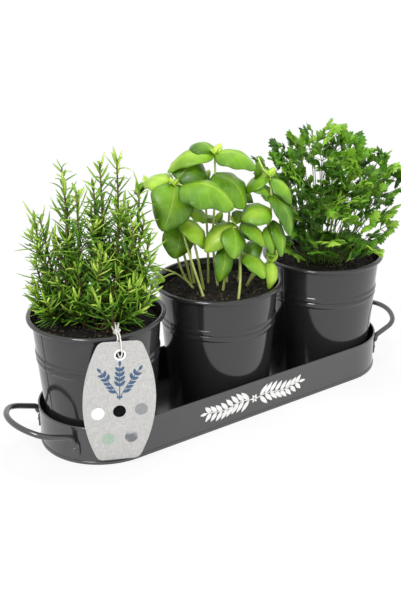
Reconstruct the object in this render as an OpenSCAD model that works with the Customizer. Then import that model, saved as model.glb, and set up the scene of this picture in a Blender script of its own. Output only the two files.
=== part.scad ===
/* [Row of pots] */
// Number of pots is fixed at three: distance between the axes of neighbouring pots
pot_pitch = 116; // [112:1:130]
// Outer radius of a pot's rolled rim
rim_r = 54; // [52:0.5:56]
// Height of a pot, from its foot to the top of its rolled rim
pot_h = 106.5; // [95:0.5:125]
// Outer radius of a pot's wall at its foot
pot_foot_r = 43; // [40:0.5:44]
// Outer radius of a pot's wall just under its rim
pot_top_r = 50; // [48.5:0.5:50.5]
// Thickness of the sheet that the pots are made of
pot_sheet = 0.8; // [0.6:0.1:1.2]
// Radius of the round curl at a pot's rim
curl_r = 1.85; // [1.6:0.05:2.2]
// Height of the lower edge of the ribbed band above a pot's foot
rib_z = 69; // [50:1:80]
// Height of one raised rib
rib_pitch = 5; // [4:0.5:7]
// How far a rib stands out of the wall
rib_proud = 0.8; // [0.5:0.1:1.2]
// Width of a pot's side seam
pot_seam_w = 3; // [2:0.5:6]
// How far a side seam stands out of a wall
seam_proud = 0.4; // [0.3:0.1:0.8]
// Direction of a pot's side seam, counted from the right of the row
pot_seam_turn = 184; // [120:1:240]
// Height of the recess under a pot's base
base_recess = 1.5; // [1:0.1:4]
// Radius of the drain hole in a pot's base
drain_r = 4.5; // [3:0.5:8]
// Depth of the soil's edge below the top of the rim
soil_drop = 10; // [6:0.5:20]
// How much higher the soil is in the middle than at its edge
soil_crown = 1.5; // [0.5:0.1:4]

/* [Tray] */
// Gap between an end pot and the inside of the tray's end, at the height of the tray's top
end_room = 3.5; // [2.5:0.1:20]
// Gap between a pot and the inside of the tray's front and back, at the height of the tray's top
side_room = 5.5; // [4:0.1:12]
// Height of the tray
tray_h = 32; // [28:1:45]
// Thickness of the tray's wall and floor
tray_sheet = 0.8; // [0.6:0.1:1.2]
// Height of the rolled hem along the tray's top
hem_h = 3.5; // [2.5:0.1:5]
// Thickness of the tray's hem and bottom seam
hem_t = 1.6; // [1.3:0.1:2.2]
// How far the hem and the bottom seam stand out of the wall
hem_proud = 0.7; // [0.5:0.1:0.9]
// Height of the seam that joins the wall to the floor
foot_seam_h = 2.5; // [2:0.1:4]
// Width of the tray's seam at the back
tray_seam_w = 8; // [4:1:14]

/* [Handles] */
// Radius of the handle rod
rod_r = 2.3; // [1.8:0.1:2.6]
// Distance from the row's middle plane to each leg of a handle
leg_y = 30.6; // [26:0.2:36]
// Straight length of each leg
leg_l = 13; // [8:0.5:20]
// Slope of the handle above level
handle_rise = 18.5; // [5:0.5:25]
// Bend radius at the corners of the loop
corner_r = 17; // [12:0.5:20]
// Angle that each corner turns through before the flatter front bend
corner_turn = 50; // [35:1:60]
// Bend radius where a leg turns down to its tab
elbow_r = 4; // [3:0.5:5]
// Height of the top of a handle's upright above the ground
upright_z = 20.4; // [19:0.2:22]
// Height of the lower edge of a tab
tab_z = 6.5; // [5:0.5:8]
// Height of a tab
tab_h = 13; // [11:0.5:14]
// Width of a tab
tab_w = 9; // [7:0.5:12]
// Thickness of a tab
tab_t = 1.6; // [1.2:0.1:2]
// Radius of a rivet's shank
rivet_r = 1.15; // [0.9:0.05:1.5]
// Radius of a rivet's head
rivet_head_r = 2.1; // [1.8:0.1:2.8]
// Height of a rivet's head
rivet_head_h = 1.2; // [0.8:0.1:1.8]

/* [Hang tag] */
// Width of the card at its middle
card_w = 55; // [44:1:60]
// Width of the card at its top and bottom edges
card_end_w = 31; // [20:1:38]
// Height of the card
card_h = 98; // [70:1:98]
// Thickness of the card
card_t = 0.8; // [0.4:0.1:1.2]
// Radius of the card's corners
card_corner_r = 6; // [1:0.5:8]
// Distance of the eyelet's middle below the card's top edge
eyelet_drop = 10.5; // [8:0.5:14]
// Radius of the hole in the eyelet
eyelet_hole_r = 3.15; // [2.8:0.05:3.4]
// Outer radius of the eyelet's flange
eyelet_r = 4.5; // [4:0.1:5.5]
// Diameter of the string
string_d = 1.2; // [1:0.1:1.4]
// Direction that the card faces, counted from the front towards the left
tag_turn = 21; // [10:1:30]
// Distance along the card from the pot's axis to the string
tag_side = 9; // [4:0.5:12]
// Lean of the card in its own plane
tag_lean = 3; // [0:0.5:5]

/* [Fits] */
// Gap between a pot's base and its wall, and between the tray's floor and its wall
seam_gap = 0.05; // [0.02:0.01:0.1]
// Gap between the soil and the pot's wall
soil_gap = 0.3; // [0.1:0.05:0.6]
// Gap round a rivet's shank, and between a tab and the wall
rivet_gap = 0.05; // [0.02:0.01:0.1]
// Gap round the eyelet's barrel
eyelet_gap = 0.05; // [0.02:0.01:0.15]
// Gap between the rim and the back of the card
card_gap = 1.2; // [1:0.1:3]
// Least distance from the leaves of one pot to the plane midway to the next pot
leaf_gap = 1.2; // [0.8:0.1:4]

/* [Plants] */
// Height of the rosemary above the soil
rosemary_h = 141; // [100:1:150]
// Height of the basil's tallest stem above the soil
basil_h = 112; // [80:4:120]
// Height of the parsley above the soil
parsley_h = 122; // [80:2:130]
// Turn of the plants about their pots' axes
plant_turn = -34; // [-40:1:-28]
// Length of a rosemary needle
needle_l = 20; // [12:1:24]
// Width of a rosemary needle
needle_w = 3; // [1.6:0.1:3.4]
// Number of needles drawn on each rosemary sprig
needles = 4; // [4:1:7]
// Thickness of a basil leaf at its midrib
basil_leaf_t = 1; // [0.8:0.1:1.6]
// Width of a parsley leaf
parsley_leaf_w = 19; // [12:1:22]
// Thickness of a parsley leaf
parsley_leaf_t = 0.8; // [0.6:0.1:1.2]
// Radius of the herbs' main stems
stem_r = 1.2; // [0.9:0.1:1.6]

/* [Hidden] */
$fn = 96;

steel = "#4a4a4b";
steel_dark = "#3c3c3d";
soil_brown = "#2b211b";
cotton = "#e8e6e1";
card_grey = "#d6d4d2";

foot_z = tray_sheet;
rim_z = foot_z + pot_h;
curl_z = rim_z - curl_r;
flare_h = 2.5;
flare_z = curl_z - flare_h;
flare = 0.6;
taper = (pot_top_r - pot_foot_r) / (flare_z - foot_z);
curl_sheet = pot_sheet * 0.9;
rib_drop = (rib_pitch / 2 * rib_pitch / 2 - rib_proud * rib_proud) / (2 * rib_proud);
core_r = 20;
base_z = foot_z + base_recess;
base_top = base_z + pot_sheet;
soil_z = rim_z - soil_drop;
soil_top = soil_z + soil_crown;
soil_shoulder = 0.7;

function wall_r(z) = pot_foot_r + taper * (z - foot_z);
function inner_r(z) = wall_r(z) - pot_sheet;

tray_half_l = pot_pitch + wall_r(tray_h) + end_room + tray_sheet;
tray_half_w = wall_r(tray_h) + side_room + tray_sheet;
end_x = tray_half_l - tray_half_w;
tray_inner = tray_half_w - tray_sheet;

rod_seat = tray_half_w + rivet_gap + rod_r;
leg_turn = asin(leg_y / rod_seat);
upright_x = end_x + rod_seat * cos(leg_turn);
elbow_turn = 90 - handle_rise;
front_r = corner_r + (leg_y - corner_r) / cos(corner_turn);
tab_r = tray_half_w + rivet_gap;
tab_corner = 2.5;
tab_mid_x = end_x + (tab_r + tab_t / 2) * cos(leg_turn);
tab_mid_y = (tab_r + tab_t / 2) * sin(leg_turn);
flat_z = tab_z + tab_h - 3.2;
elbow_steps = 5;
corner_steps = 5;
front_steps = 4;
rod_sides = 16;
rivet_z = tab_z + tab_h / 2 - 1;
rivet_hole_r = rivet_r + rivet_gap;
rivet_tail_h = 0.8;

card_y = rim_r + card_gap + card_t / 2;
card_top = rim_z - 2.9;
card_z = card_top - card_h / 2;
eyelet_z = card_top - eyelet_drop;
eyelet_flange = 0.5;
eyelet_wall = 0.4;
barrel_r = eyelet_hole_r + eyelet_wall;
hinge_z = rim_z - 0.9;
string_r = string_d / 2;
front_y = card_y + card_t / 2 + eyelet_flange + string_r + 0.1;
back_y = card_y - card_t / 2 - eyelet_flange - string_r - 0.1;
strand_x = string_r + 0.3;
string_sides = 8;
hinge_gap = 0.45;
knot_y = 45.5;
knot_z = rim_z + 0.6;
knot_r = 2.2;
anchor_y = 30;
anchor_z = rim_z + 0.2;

// A point of a string's route, given along the card, out from the pot's axis, and up
function tag_point(p) = [p[0], -p[1], p[2]];

lower_route = [
    [strand_x, card_y, hinge_z - hinge_gap],
    [strand_x + 0.1, card_y + 0.6, hinge_z - 1],
    [strand_x + 0.2, card_y + 1.15, hinge_z - 2.1],
    [strand_x + 0.3, front_y, hinge_z - 4.2],
    [strand_x + 0.5, front_y + 0.1, eyelet_z + 4],
    [strand_x + 0.4, front_y - 0.2, eyelet_z + 1],
    [0.7, card_y + 0.9, eyelet_z - 1.4],
    [0, card_y, eyelet_z - 2],
    [-0.7, card_y - 0.9, eyelet_z - 1.4],
    [-strand_x - 0.4, back_y + 0.2, eyelet_z + 1],
    [-strand_x - 0.5, back_y, eyelet_z + 4],
    [-strand_x - 0.3, back_y, hinge_z - 4.8],
    [-strand_x - 0.2, card_y - 1.15, hinge_z - 2.1],
    [-strand_x - 0.1, card_y - 0.6, hinge_z - 1],
    [-strand_x, card_y, hinge_z - hinge_gap]
];

// The route of one strand over the rim, from the hinge line in to the knot
function upper_route(side) = [
    [side * strand_x, card_y - hinge_gap * 0.7, hinge_z + hinge_gap * 0.7],
    [side * strand_x, card_y - 1.4, rim_z + string_r + 0.1],
    [side * strand_x, card_y - 3.4, rim_z + string_r + 0.3],
    [side * strand_x, card_y - 6, rim_z + string_r + 0.2],
    [side * (strand_x - 0.1), knot_y + 2, knot_z + 0.2],
    [side * (strand_x - 0.2), knot_y + 0.6, knot_z + 0.1]
];

// The loop that runs back from the knot, held tight by the card's weight, round the nearest stem
anchor_route = [
    [1.4, knot_y - 1, knot_z - 0.2],
    [1.8, anchor_y + 11, anchor_z + 0.2],
    [2, anchor_y + 6, anchor_z + 0.1],
    [2.1, anchor_y + 1.5, anchor_z],
    [1.7, anchor_y - 1.3, anchor_z],
    [0, anchor_y - 2.3, anchor_z],
    [-1.7, anchor_y - 1.3, anchor_z],
    [-2.1, anchor_y + 1.5, anchor_z],
    [-2, anchor_y + 6, anchor_z + 0.1],
    [-1.8, anchor_y + 11, anchor_z + 0.2],
    [-1.4, knot_y - 1, knot_z - 0.2]
];

// Rings of a swept tube: each ring stands square to the route's direction there
function unit(v) = v / norm(v);
function heading(path, i) =
    unit(path[min(i + 1, len(path) - 1)] - path[max(i - 1, 0)]);
function ring(path, i, r, sides, side_axis) =
    let (ahead = heading(path, i))
    let (u = unit(cross(side_axis, ahead)))
    let (v = cross(ahead, u))
    [for (k = [0 : sides - 1])
        path[i] + r * (u * cos(360 * k / sides) + v * sin(360 * k / sides))];

// Points of a smooth curve through the route's points, with steps points for each stretch
function smooth_at(a, b, c, d, t) =
    0.5 * ((2 * b) + (c - a) * t + (2 * a - 5 * b + 4 * c - d) * t * t
        + (3 * b - a - 3 * c + d) * t * t * t);
function smooth(route, steps) = concat(
    [for (i = [0 : len(route) - 2], k = [0 : steps - 1])
        smooth_at(route[max(i - 1, 0)], route[i], route[i + 1],
            route[min(i + 2, len(route) - 1)], k / steps)],
    [route[len(route) - 1]]);

// Closes a list of rings, each of the same number of points, into a solid
module skin(rings) {
    last = len(rings) - 1;
    sides = len(rings[0]);
    points = [for (r = rings) each r];
    sleeve = [for (i = [0 : last - 1], k = [0 : sides - 1])
        let (a = i * sides + k)
        let (b = i * sides + (k + 1) % sides)
        each [[b, a, a + sides], [b + sides, b, a + sides]]];
    first_cap = [for (k = [1 : sides - 2]) [0, k, k + 1]];
    last_cap = [for (k = [1 : sides - 2])
        [last * sides, last * sides + k + 1, last * sides + k]];
    polyhedron(points = points, faces = concat(sleeve, first_cap, last_cap));
}

module tube(path, r_start, r_end, sides, side_axis) {
    last = len(path) - 1;
    skin([for (i = [0 : last])
        ring(path, i, r_start + (r_end - r_start) * i / last, sides, side_axis)]);
}

// A short straight stalk between two points
module bud(at, r) {
    polyhedron(
        points = [for (d = [[1, 0, 0], [0, 1, 0], [-1, 0, 0], [0, -1, 0], [0, 0, 1], [0, 0, -1]])
            at + r * d],
        faces = [for (k = [0 : 3]) each [[(k + 1) % 4, k, 4], [k, (k + 1) % 4, 5]]]);
}
module twig(from, to, r_from, r_to) {
    hull() {
        bud(from, r_from);
        bud(to, r_to);
    }
}

// The tray's outline is a straight run at front and back with a half circle at each end
module round_the_tray() {
    for (side = [-1, 1])
        translate([side * end_x, 0, 0])
            rotate([0, 0, -90 * side])
                rotate_extrude(angle = 180) children();
    for (turn = [0, 180])
        rotate([0, 0, turn])
            translate([-end_x, 0, 0])
                rotate([90, 0, 90])
                    linear_extrude(height = 2 * end_x) children();
}

module tray_profile() {
    hem_r = tray_half_w + hem_proud - hem_t / 2;
    translate([tray_inner, 0])
        square([tray_sheet, tray_h - hem_t / 2]);
    for (z = [tray_h - hem_t / 2, tray_h - hem_h + hem_t / 2])
        translate([hem_r, z])
            circle(hem_t / 2);
    translate([hem_r - hem_t / 2, tray_h - hem_h + hem_t / 2])
        square([hem_t, hem_h - hem_t]);
    translate([hem_r, foot_seam_h - hem_t / 2])
        circle(hem_t / 2);
    translate([tray_inner, 0])
        square([tray_sheet + hem_proud, foot_seam_h - hem_t / 2]);
}

// Places children at the two legs of the handle on one side, out from the end circle's middle
module at_legs(side) {
    for (leg = [-1, 1])
        mirror([side < 0 ? 1 : 0, 0, 0])
            translate([end_x, 0, 0])
                rotate([0, 0, leg * leg_turn])
                    children();
}

module rivet_holes(side) {
    at_legs(side)
        translate([tray_inner - 5, 0, rivet_z])
            rotate([0, 90, 0])
                cylinder(r = rivet_hole_r, h = 15);
}

module tray_wall() {
    color(steel)
        difference() {
            union() {
                round_the_tray()
                    tray_profile();
                translate([-tray_seam_w / 2, tray_half_w - tray_sheet / 2, foot_seam_h / 2])
                    cube([tray_seam_w, tray_sheet / 2 + seam_proud, tray_h - foot_seam_h / 2 - hem_h / 2]);
            }
            rivet_holes(-1);
            rivet_holes(1);
        }
}

module tray_floor() {
    floor_r = tray_inner - seam_gap;
    color(steel_dark)
        union() {
            for (side = [-1, 1])
                translate([side * end_x, 0, 0])
                    cylinder(r = floor_r, h = tray_sheet);
            translate([-end_x, -floor_r, 0])
                cube([2 * end_x, 2 * floor_r, tray_sheet]);
        }
}

// A tab is a flat strap that follows the round of the tray's end
module tab() {
    difference() {
        intersection() {
            difference() {
                cylinder(r = tab_r + tab_t, h = tab_z + tab_h);
                translate([0, 0, -1])
                    cylinder(r = tab_r, h = tab_z + tab_h + 2);
            }
            translate([tab_r - 10, 0, tab_z])
                rotate([90, 0, 90])
                    linear_extrude(height = 20)
                        union() {
                            translate([-tab_w / 2, tab_corner])
                                square([tab_w, tab_h - tab_corner]);
                            translate([-tab_w / 2 + tab_corner, 0])
                                square([tab_w - 2 * tab_corner, tab_h]);
                            for (side = [-1, 1])
                                translate([side * (tab_w / 2 - tab_corner), tab_corner])
                                    circle(tab_corner);
                        }
        }
        translate([tab_r - 5, 0, rivet_z])
            rotate([0, 90, 0])
                cylinder(r = rivet_hole_r, h = 15);
    }
}

// Half of the rod's middle line, from the flattened end up, over and round to the tip:
// each entry is [place, half width, half thickness, turn of the flat about the line]
function in_loop(p) = [
    upright_x + elbow_r + p[0] * cos(handle_rise) - elbow_r * sin(handle_rise),
    p[1],
    upright_z + p[0] * sin(handle_rise) + elbow_r * cos(handle_rise)
];
corner_x = leg_l;
front_x = corner_x + (corner_r - front_r) * sin(corner_turn);
function half_rod() = concat(
    [[[tab_mid_x, tab_mid_y, flat_z], tab_w / 2 - 0.3, tab_t / 2 - 0.1, -leg_turn],
     [[tab_mid_x + 0.3, tab_mid_y + 0.1, flat_z + 1.6], tab_w / 2 - 1, tab_t / 2 + 0.2, -leg_turn],
     [[upright_x - 0.3, leg_y - 0.2, upright_z - 1.6], rod_r * 1.2, rod_r * 0.8, -leg_turn * 0.6]],
    [for (k = [0 : elbow_steps])
        let (a = elbow_turn * k / elbow_steps)
        [[upright_x + elbow_r * (1 - cos(a)), leg_y, upright_z + elbow_r * sin(a)], rod_r, rod_r, 0]],
    [for (k = [0 : corner_steps])
        let (a = 90 - corner_turn * k / corner_steps)
        [in_loop([corner_x + corner_r * cos(a), leg_y - corner_r + corner_r * sin(a)]),
            rod_r, rod_r, 0]],
    [for (k = [1 : front_steps])
        let (a = (90 - corner_turn) * (1 - k / front_steps))
        [in_loop([front_x + front_r * cos(a), front_r * sin(a)]), rod_r, rod_r, 0]]);
function mirrored(e) = [[e[0][0], -e[0][1], e[0][2]], e[1], e[2], e[3]];

// The whole rod runs up on one side, round the loop and down on the other
module handle_rod() {
    half = half_rod();
    last = len(half) - 1;
    line = concat(
        [for (e = half) mirrored(e)],
        [for (i = [last - 1 : -1 : 0]) half[i]]);
    path = [for (e = line) e[0]];
    loop_up = [-sin(handle_rise), 0, cos(handle_rise)];
    skin([for (i = [0 : len(path) - 1])
        let (ahead = i < 3 ? [0, 0, 1] : i > len(path) - 4 ? [0, 0, -1] : heading(path, i))
        let (u = unit(cross(loop_up, ahead)))
        let (v = cross(ahead, u))
        let (turn = line[i][3])
        let (wide = u * cos(turn) + v * sin(turn))
        let (thin = v * cos(turn) - u * sin(turn))
        [for (k = [0 : rod_sides - 1])
            path[i] + line[i][1] * wide * cos(360 * k / rod_sides)
                + line[i][2] * thin * sin(360 * k / rod_sides)]]);
}

module handle(side) {
    color(steel)
        union() {
            mirror([side < 0 ? 1 : 0, 0, 0])
                handle_rod();
            at_legs(side)
                tab();
        }
}

// A rivet's domed head is outside the tab, and its clenched end inside the wall
module rivet() {
    grip = tab_r + tab_t - tray_inner;
    dome_r = (rivet_head_r * rivet_head_r + rivet_head_h * rivet_head_h) / (2 * rivet_head_h);
    rotate_extrude() {
        translate([0, -rivet_gap])
            square([rivet_r, grip + rivet_gap]);
        translate([0, -rivet_gap - rivet_tail_h])
            square([rivet_r * 1.6, rivet_tail_h]);
        intersection() {
            translate([0, grip + rivet_head_h - dome_r])
                circle(dome_r);
            translate([0, grip])
                square([rivet_head_r, rivet_head_h]);
        }
    }
}

module handle_rivets(side) {
    color(steel)
        at_legs(side)
            translate([tray_inner, 0, rivet_z])
                rotate([0, 90, 0])
                    rivet();
}

// The region inside the outer face of a pot's wall, with the ribs' half rounds
module pot_outer_face() {
    polygon([
        [core_r, foot_z],
        [wall_r(foot_z), foot_z],
        [wall_r(flare_z), flare_z],
        [wall_r(flare_z) + flare, curl_z],
        [core_r, curl_z]
    ]);
    for (i = [0, 1])
        let (z = foot_z + rib_z + rib_pitch * (i + 0.5))
            translate([wall_r(z) - rib_drop, z])
                circle(rib_drop + rib_proud);
}

module pot_wall_profile() {
    difference() {
        pot_outer_face();
        translate([-pot_sheet, 0])
            pot_outer_face();
        translate([0, foot_z - 1])
            square([core_r + pot_sheet, pot_h + 2]);
    }
}

module pot_curl_profile() {
    translate([rim_r - curl_r, curl_z])
        difference() {
            circle(curl_r);
            circle(curl_r - curl_sheet);
            polygon([
                [0, 0],
                2 * curl_r * [cos(202), sin(202)],
                2 * curl_r * [cos(228), sin(228)]
            ]);
        }
}

module pot_wall(x) {
    color(steel)
        translate([x, 0, 0])
            union() {
                rotate_extrude() {
                    pot_wall_profile();
                    pot_curl_profile();
                }
                intersection() {
                    rotate_extrude()
                        translate([seam_proud, 0])
                            pot_wall_profile();
                    rotate([0, 0, pot_seam_turn])
                        translate([core_r, -pot_seam_w / 2, foot_z])
                            cube([rim_r, pot_seam_w, flare_z - foot_z]);
                }
            }
}

module pot_base(x) {
    base_r = inner_r(foot_z) - seam_gap;
    color(steel_dark)
        translate([x, 0, 0])
            difference() {
                translate([0, 0, foot_z])
                    cylinder(r = base_r, h = base_top - foot_z);
                translate([0, 0, foot_z - 1])
                    cylinder(r = base_r - pot_sheet, h = base_recess + 1);
                translate([0, 0, foot_z])
                    cylinder(r = drain_r, h = base_top);
            }
}

module soil(x) {
    color(soil_brown)
        translate([x, 0, 0])
            rotate_extrude()
                polygon([
                    [0, base_top],
                    [inner_r(base_top) - soil_gap, base_top],
                    [inner_r(soil_z) - soil_gap, soil_z],
                    [inner_r(soil_z) * soil_shoulder, soil_z + soil_crown * soil_shoulder],
                    [0, soil_top]
                ]);
}

// Plants are laid out as a gardener sees them from the front left: each place is
// [to the right, towards the viewer, height above the soil]
soil_level = soil_top - 2;
leaf_reach = pot_pitch / 2 - leaf_gap;
rosemary_k = rosemary_h / 141;
basil_k = basil_h / 112;
parsley_k = parsley_h / 122;
function place(p, k) = [p[0] * k, -p[1] * k, p[2] * k + soil_level];
function turned(p) = [
    p[0] * cos(plant_turn) - p[1] * sin(plant_turn),
    p[0] * sin(plant_turn) + p[1] * cos(plant_turn),
    p[2]
];

// Moves a point in to the plane that keeps neighbouring pots' leaves apart; sides names
// the neighbours: -1 on the left only, 1 on the right only, 0 on both sides
function kept_in(p, margin, sides) = [
    max(sides <= 0 ? margin - leaf_reach : p[0], min(sides >= 0 ? leaf_reach - margin : p[0], p[0])),
    p[1],
    p[2]
];

function bend_at(a, b, c, t) = (1 - t) * (1 - t) * a + 2 * t * (1 - t) * b + t * t * c;

// Rosemary: stem bases, then sprigs as [base number, to the right, towards the viewer, height]
// The last base is the stem that the string is looped round
stem_turn = -plant_turn - tag_turn;
anchor_stem = [
    tag_side * cos(stem_turn) + anchor_y * sin(stem_turn),
    anchor_y * cos(stem_turn) - tag_side * sin(stem_turn),
    0
] / rosemary_k;
rosemary_bases = [[-20, 2, 0], [-7, 8, 0], [3, -9, 0], [15, 2, 0], [5, 14, 0], anchor_stem];
rosemary_sprigs = [
    [0, -19, 0, 135],
    [1, -8, 10, 118],
    [2, 2, -10, 118],
    [2, 9, 0, 137],
    [3, 22, 4, 141],
    [0, -45, -8, 95],
    [0, -38, 4, 97],
    [1, -28, 10, 84],
    [0, -22, -15, 80],
    [3, 38, 0, 121],
    [3, 28, -12, 103],
    [3, 33, 12, 92],
    [3, 41, -2, 92],
    [3, 45, 6, 78],
    [3, 46, 14, 64],
    [0, -46, -2, 58],
    [0, -48, 4, 44],
    [0, -46, 12, 38],
    [0, -47, 10, 26],
    [0, -42, 18, 22],
    [3, 48, 12, 42],
    [4, 46, 20, 32],
    [4, 40, 25, 25],
    [4, 31, 31, 18],
    [5, 15, 30, 36],
    [1, -8, 33, 18],
    [1, -22, 31, 17],
    [0, -34, 25, 17],
    [1, -10, 20, 64],
    [4, 8, 22, 78],
    [4, 22, 20, 58],
    [1, -28, 18, 50],
    [2, 0, -28, 96],
    [2, -20, -28, 78],
    [2, 22, -28, 88],
    [4, -4, 28, 38],
    [4, 34, 22, 48],
    [2, 10, -38, 46],
    [2, -30, -30, 40],
    [2, 36, -30, 48]
];
golden = 137.5;
sprig_room = 4;

// A sprig runs outward first and then up; sprigs of one base start a little apart
base_spread = 2.1;
function sprig_path(n, steps) =
    let (s = rosemary_sprigs[n])
    let (spread = s[0] == len(rosemary_bases) - 1 ? 0 : base_spread)
    let (from = turned(place(rosemary_bases[s[0]], rosemary_k)) + spread * [cos(golden * n), sin(golden * n), 0])
    let (to = kept_in(turned(place([s[1], s[2], s[3]], rosemary_k)), sprig_room, 1))
    let (knee = [
        from[0] + (to[0] - from[0]) * 0.72,
        from[1] + (to[1] - from[1]) * 0.72,
        from[2] + 3 + (to[2] - from[2]) * 0.3
    ])
    [for (k = [0 : steps]) bend_at(from, knee, to, k / steps)];

module needle(at, ahead, spin, long) {
    u = unit(cross(ahead, [0.31, 0.17, 0.93]));
    v = cross(ahead, u);
    out = u * cos(spin) + v * sin(spin);
    across = cross(ahead, out);
    root = at - 1.6 * out;
    tip = kept_in(at + long * (0.7 * out + 0.69 * ahead + [0, 0, 0.14]), 0, 1);
    hull()
        polyhedron(
            points = [
                root + across * needle_w / 2 + ahead * 0.5,
                root - across * needle_w / 2 + ahead * 0.5,
                root - ahead * 1.4,
                tip
            ],
            faces = [[0, 1, 2], [1, 0, 3], [2, 1, 3], [0, 2, 3]]);
}

module rosemary_plant() {
    color("#5f9a2a")
        translate([-pot_pitch, 0, 0])
            union()
                for (n = [0 : len(rosemary_sprigs) - 1])
                    let (path = sprig_path(n, 2))
                    let (fine = sprig_path(n, needles + 3)) {
                        tube(path, stem_r, stem_r * 0.6, 4, [0.31, 0.17, 0.93]);
                        for (k = [1 : needles])
                            needle(fine[k + 2], heading(fine, k + 2), golden * (k + n),
                                needle_l * (1 - 0.45 * pow(k / needles, 3)));
                    }
}

// Basil: leaves as [[stalk end], [tip], width], each end [to the right, towards the viewer, height]
basil_leaves = [
    [[-2, 0, 111], [-40, -2, 99], 26],
    [[-2, 0, 111.5], [-21, -15, 114], 20],
    [[-2, 0, 111.5], [30, 4, 103], 24],
    [[-2, 5, 98], [20, 23, 75], 30],
    [[-28, 12, 90], [11, 27, 75], 34],
    [[-32, 7, 94], [-9, -1, 98], 24],
    [[-38, 8, 91], [-58, 4, 84], 22],
    [[-34, 13, 90], [-47, 27, 60], 33],
    [[-54, -6, 88], [-66, -15, 76], 16],
    [[42.8, 3.2, 80.5], [27, 5, 83], 10],
    [[42.8, 3.2, 80], [58, 15, 49], 17],
    [[42, 9, 70], [19, 17, 66], 22],
    [[42, -0.9, 93.3], [60, 0, 73], 17],
    [[45, 7, 60], [51, 17, 33], 14],
    [[45, -1, 73], [52, -8, 50], 17],
    [[42, -0.9, 93.3], [22, -7, 79], 20],
    [[33, -7, 106], [30, -10, 90], 12],
    [[13, 11, 59], [-10, 23, 42], 25],
    [[12, 15, 57], [12, 29, 36], 20],
    [[19, 11, 60], [37, 21, 43], 18],
    [[15, 6, 61], [24, -8, 61], 14],
    [[22, 13, 35], [37, 27, 19], 19],
    [[21, 8, 34], [36, 6, 40], 18],
    [[41, 9, 56], [43, 19, 36], 14],
    [[41, 11, 38], [47, 15, 33], 10],
    [[43, 12, 28], [41, 19, 7], 10],
    [[5, 15, 41], [0, 25, 16], 14],
    [[-31, 1, 54], [-36, 8, 30], 24],
    [[-29, 6, 62], [-12, 12, 47], 20],
    [[-26, -5, 69], [-8, -9, 55], 22],
    [[10, -15, 82], [28, -36, 66], 27],
    [[-10, -16, 88], [-28, -38, 74], 27],
    [[0, -20, 52], [-4, -46, 42], 25],
    [[20, -20, 42], [38, -34, 32], 21],
    [[-24, -16, 42], [-40, -30, 30], 20]
];
basil_stems = [
    [[-12, 20, 0], [-20, 15, 24], [-28, 12, 52], [-34, 10, 91]],
    [[-12, 2, 0], [-17, 3, 30], [-22, 0, 50], [-26, -5, 70]],
    [[-20, -2, 0], [-28, 0, 12], [-34, 1, 32], [-31, 1, 55]],
    [[-22, -10, 0], [-30, -8, 34], [-44, -6, 66], [-55, -6, 88]],
    [[16, 24, 0], [18, 18, 22], [16, 13, 42], [14, 10, 60]],
    [[4, 4, 0], [6, 9, 20], [5, 12, 34], [5, 15, 42]],
    [[0, -6, 0], [-4, -2, 40], [-2, 2, 80], [-2, 0, 112]],
    [[24, -4, 0], [36, 2, 34], [43, 6, 70], [42, -1, 94]],
    [[24, -4, 2], [32, 5, 16], [38, 9, 24], [43, 12, 29]],
    [[8, -12, 0], [8, -14, 30], [10, -15, 60], [10, -15, 83]],
    [[-8, -12, 0], [-8, -14, 30], [-9, -15, 60], [-10, -16, 89]],
    [[2, -18, 0], [1, -19, 20], [0, -20, 40], [0, -20, 53]],
    [[18, -16, 0], [19, -18, 14], [20, -19, 30], [20, -20, 43]],
    [[-20, -14, 0], [-22, -15, 14], [-23, -16, 28], [-24, -16, 43]]
];
basil_stalks = [
    [[-34, 10, 90], [-31, 11, 91], [-28, 12, 90]],
    [[-34, 10, 90], [-33, 8, 92], [-32, 7, 94]],
    [[-34, 10, 90], [-36, 9, 91], [-38, 8, 91]],
    [[-2, 2, 92], [-2, 3, 96], [-2, 5, 98]],
    [[42, 0, 88], [36, -3, 100], [33, -7, 106]],
    [[43, 6, 64], [42, 8, 58], [41, 9, 56]],
    [[43, 6, 66], [43, 8, 69], [42, 9, 70]],
    [[43, 7, 57], [44, 7, 59], [45, 7, 60]],
    [[43, 5, 71], [44, 2, 73], [45, -1, 73]],
    [[15, 12, 52], [18, 11, 57], [19, 11, 60]],
    [[15, 12, 55], [14, 14, 57], [12, 15, 57]],
    [[14, 10, 59], [15, 8, 61], [15, 6, 61]],
    [[17, 15, 30], [20, 14, 34], [22, 13, 35]],
    [[17, 15, 30], [19, 11, 33], [21, 8, 34]],
    [[40, 10, 26], [41, 11, 32], [41, 11, 38]],
    [[-27, 12, 50], [-28, 9, 58], [-29, 6, 62]]
];
leaf_rows = 5;
leaf_bend = 55;
leaf_cup = 0.3;
leaf_room = 6;

// A leaf bends down towards its tip, and its edges lie lower than its midrib
function leaf_spine(from, to, up, v) =
    let (long = norm(to - from))
    let (ahead = (to - from) / long)
    from + long * v * ahead + up * long * 0.9 * sin(leaf_bend / 2) * v * (1 - v);
function leaf_width(w, v) = w / 2 * pow(sin(180 * pow(v, 0.82)), 0.75);

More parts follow.
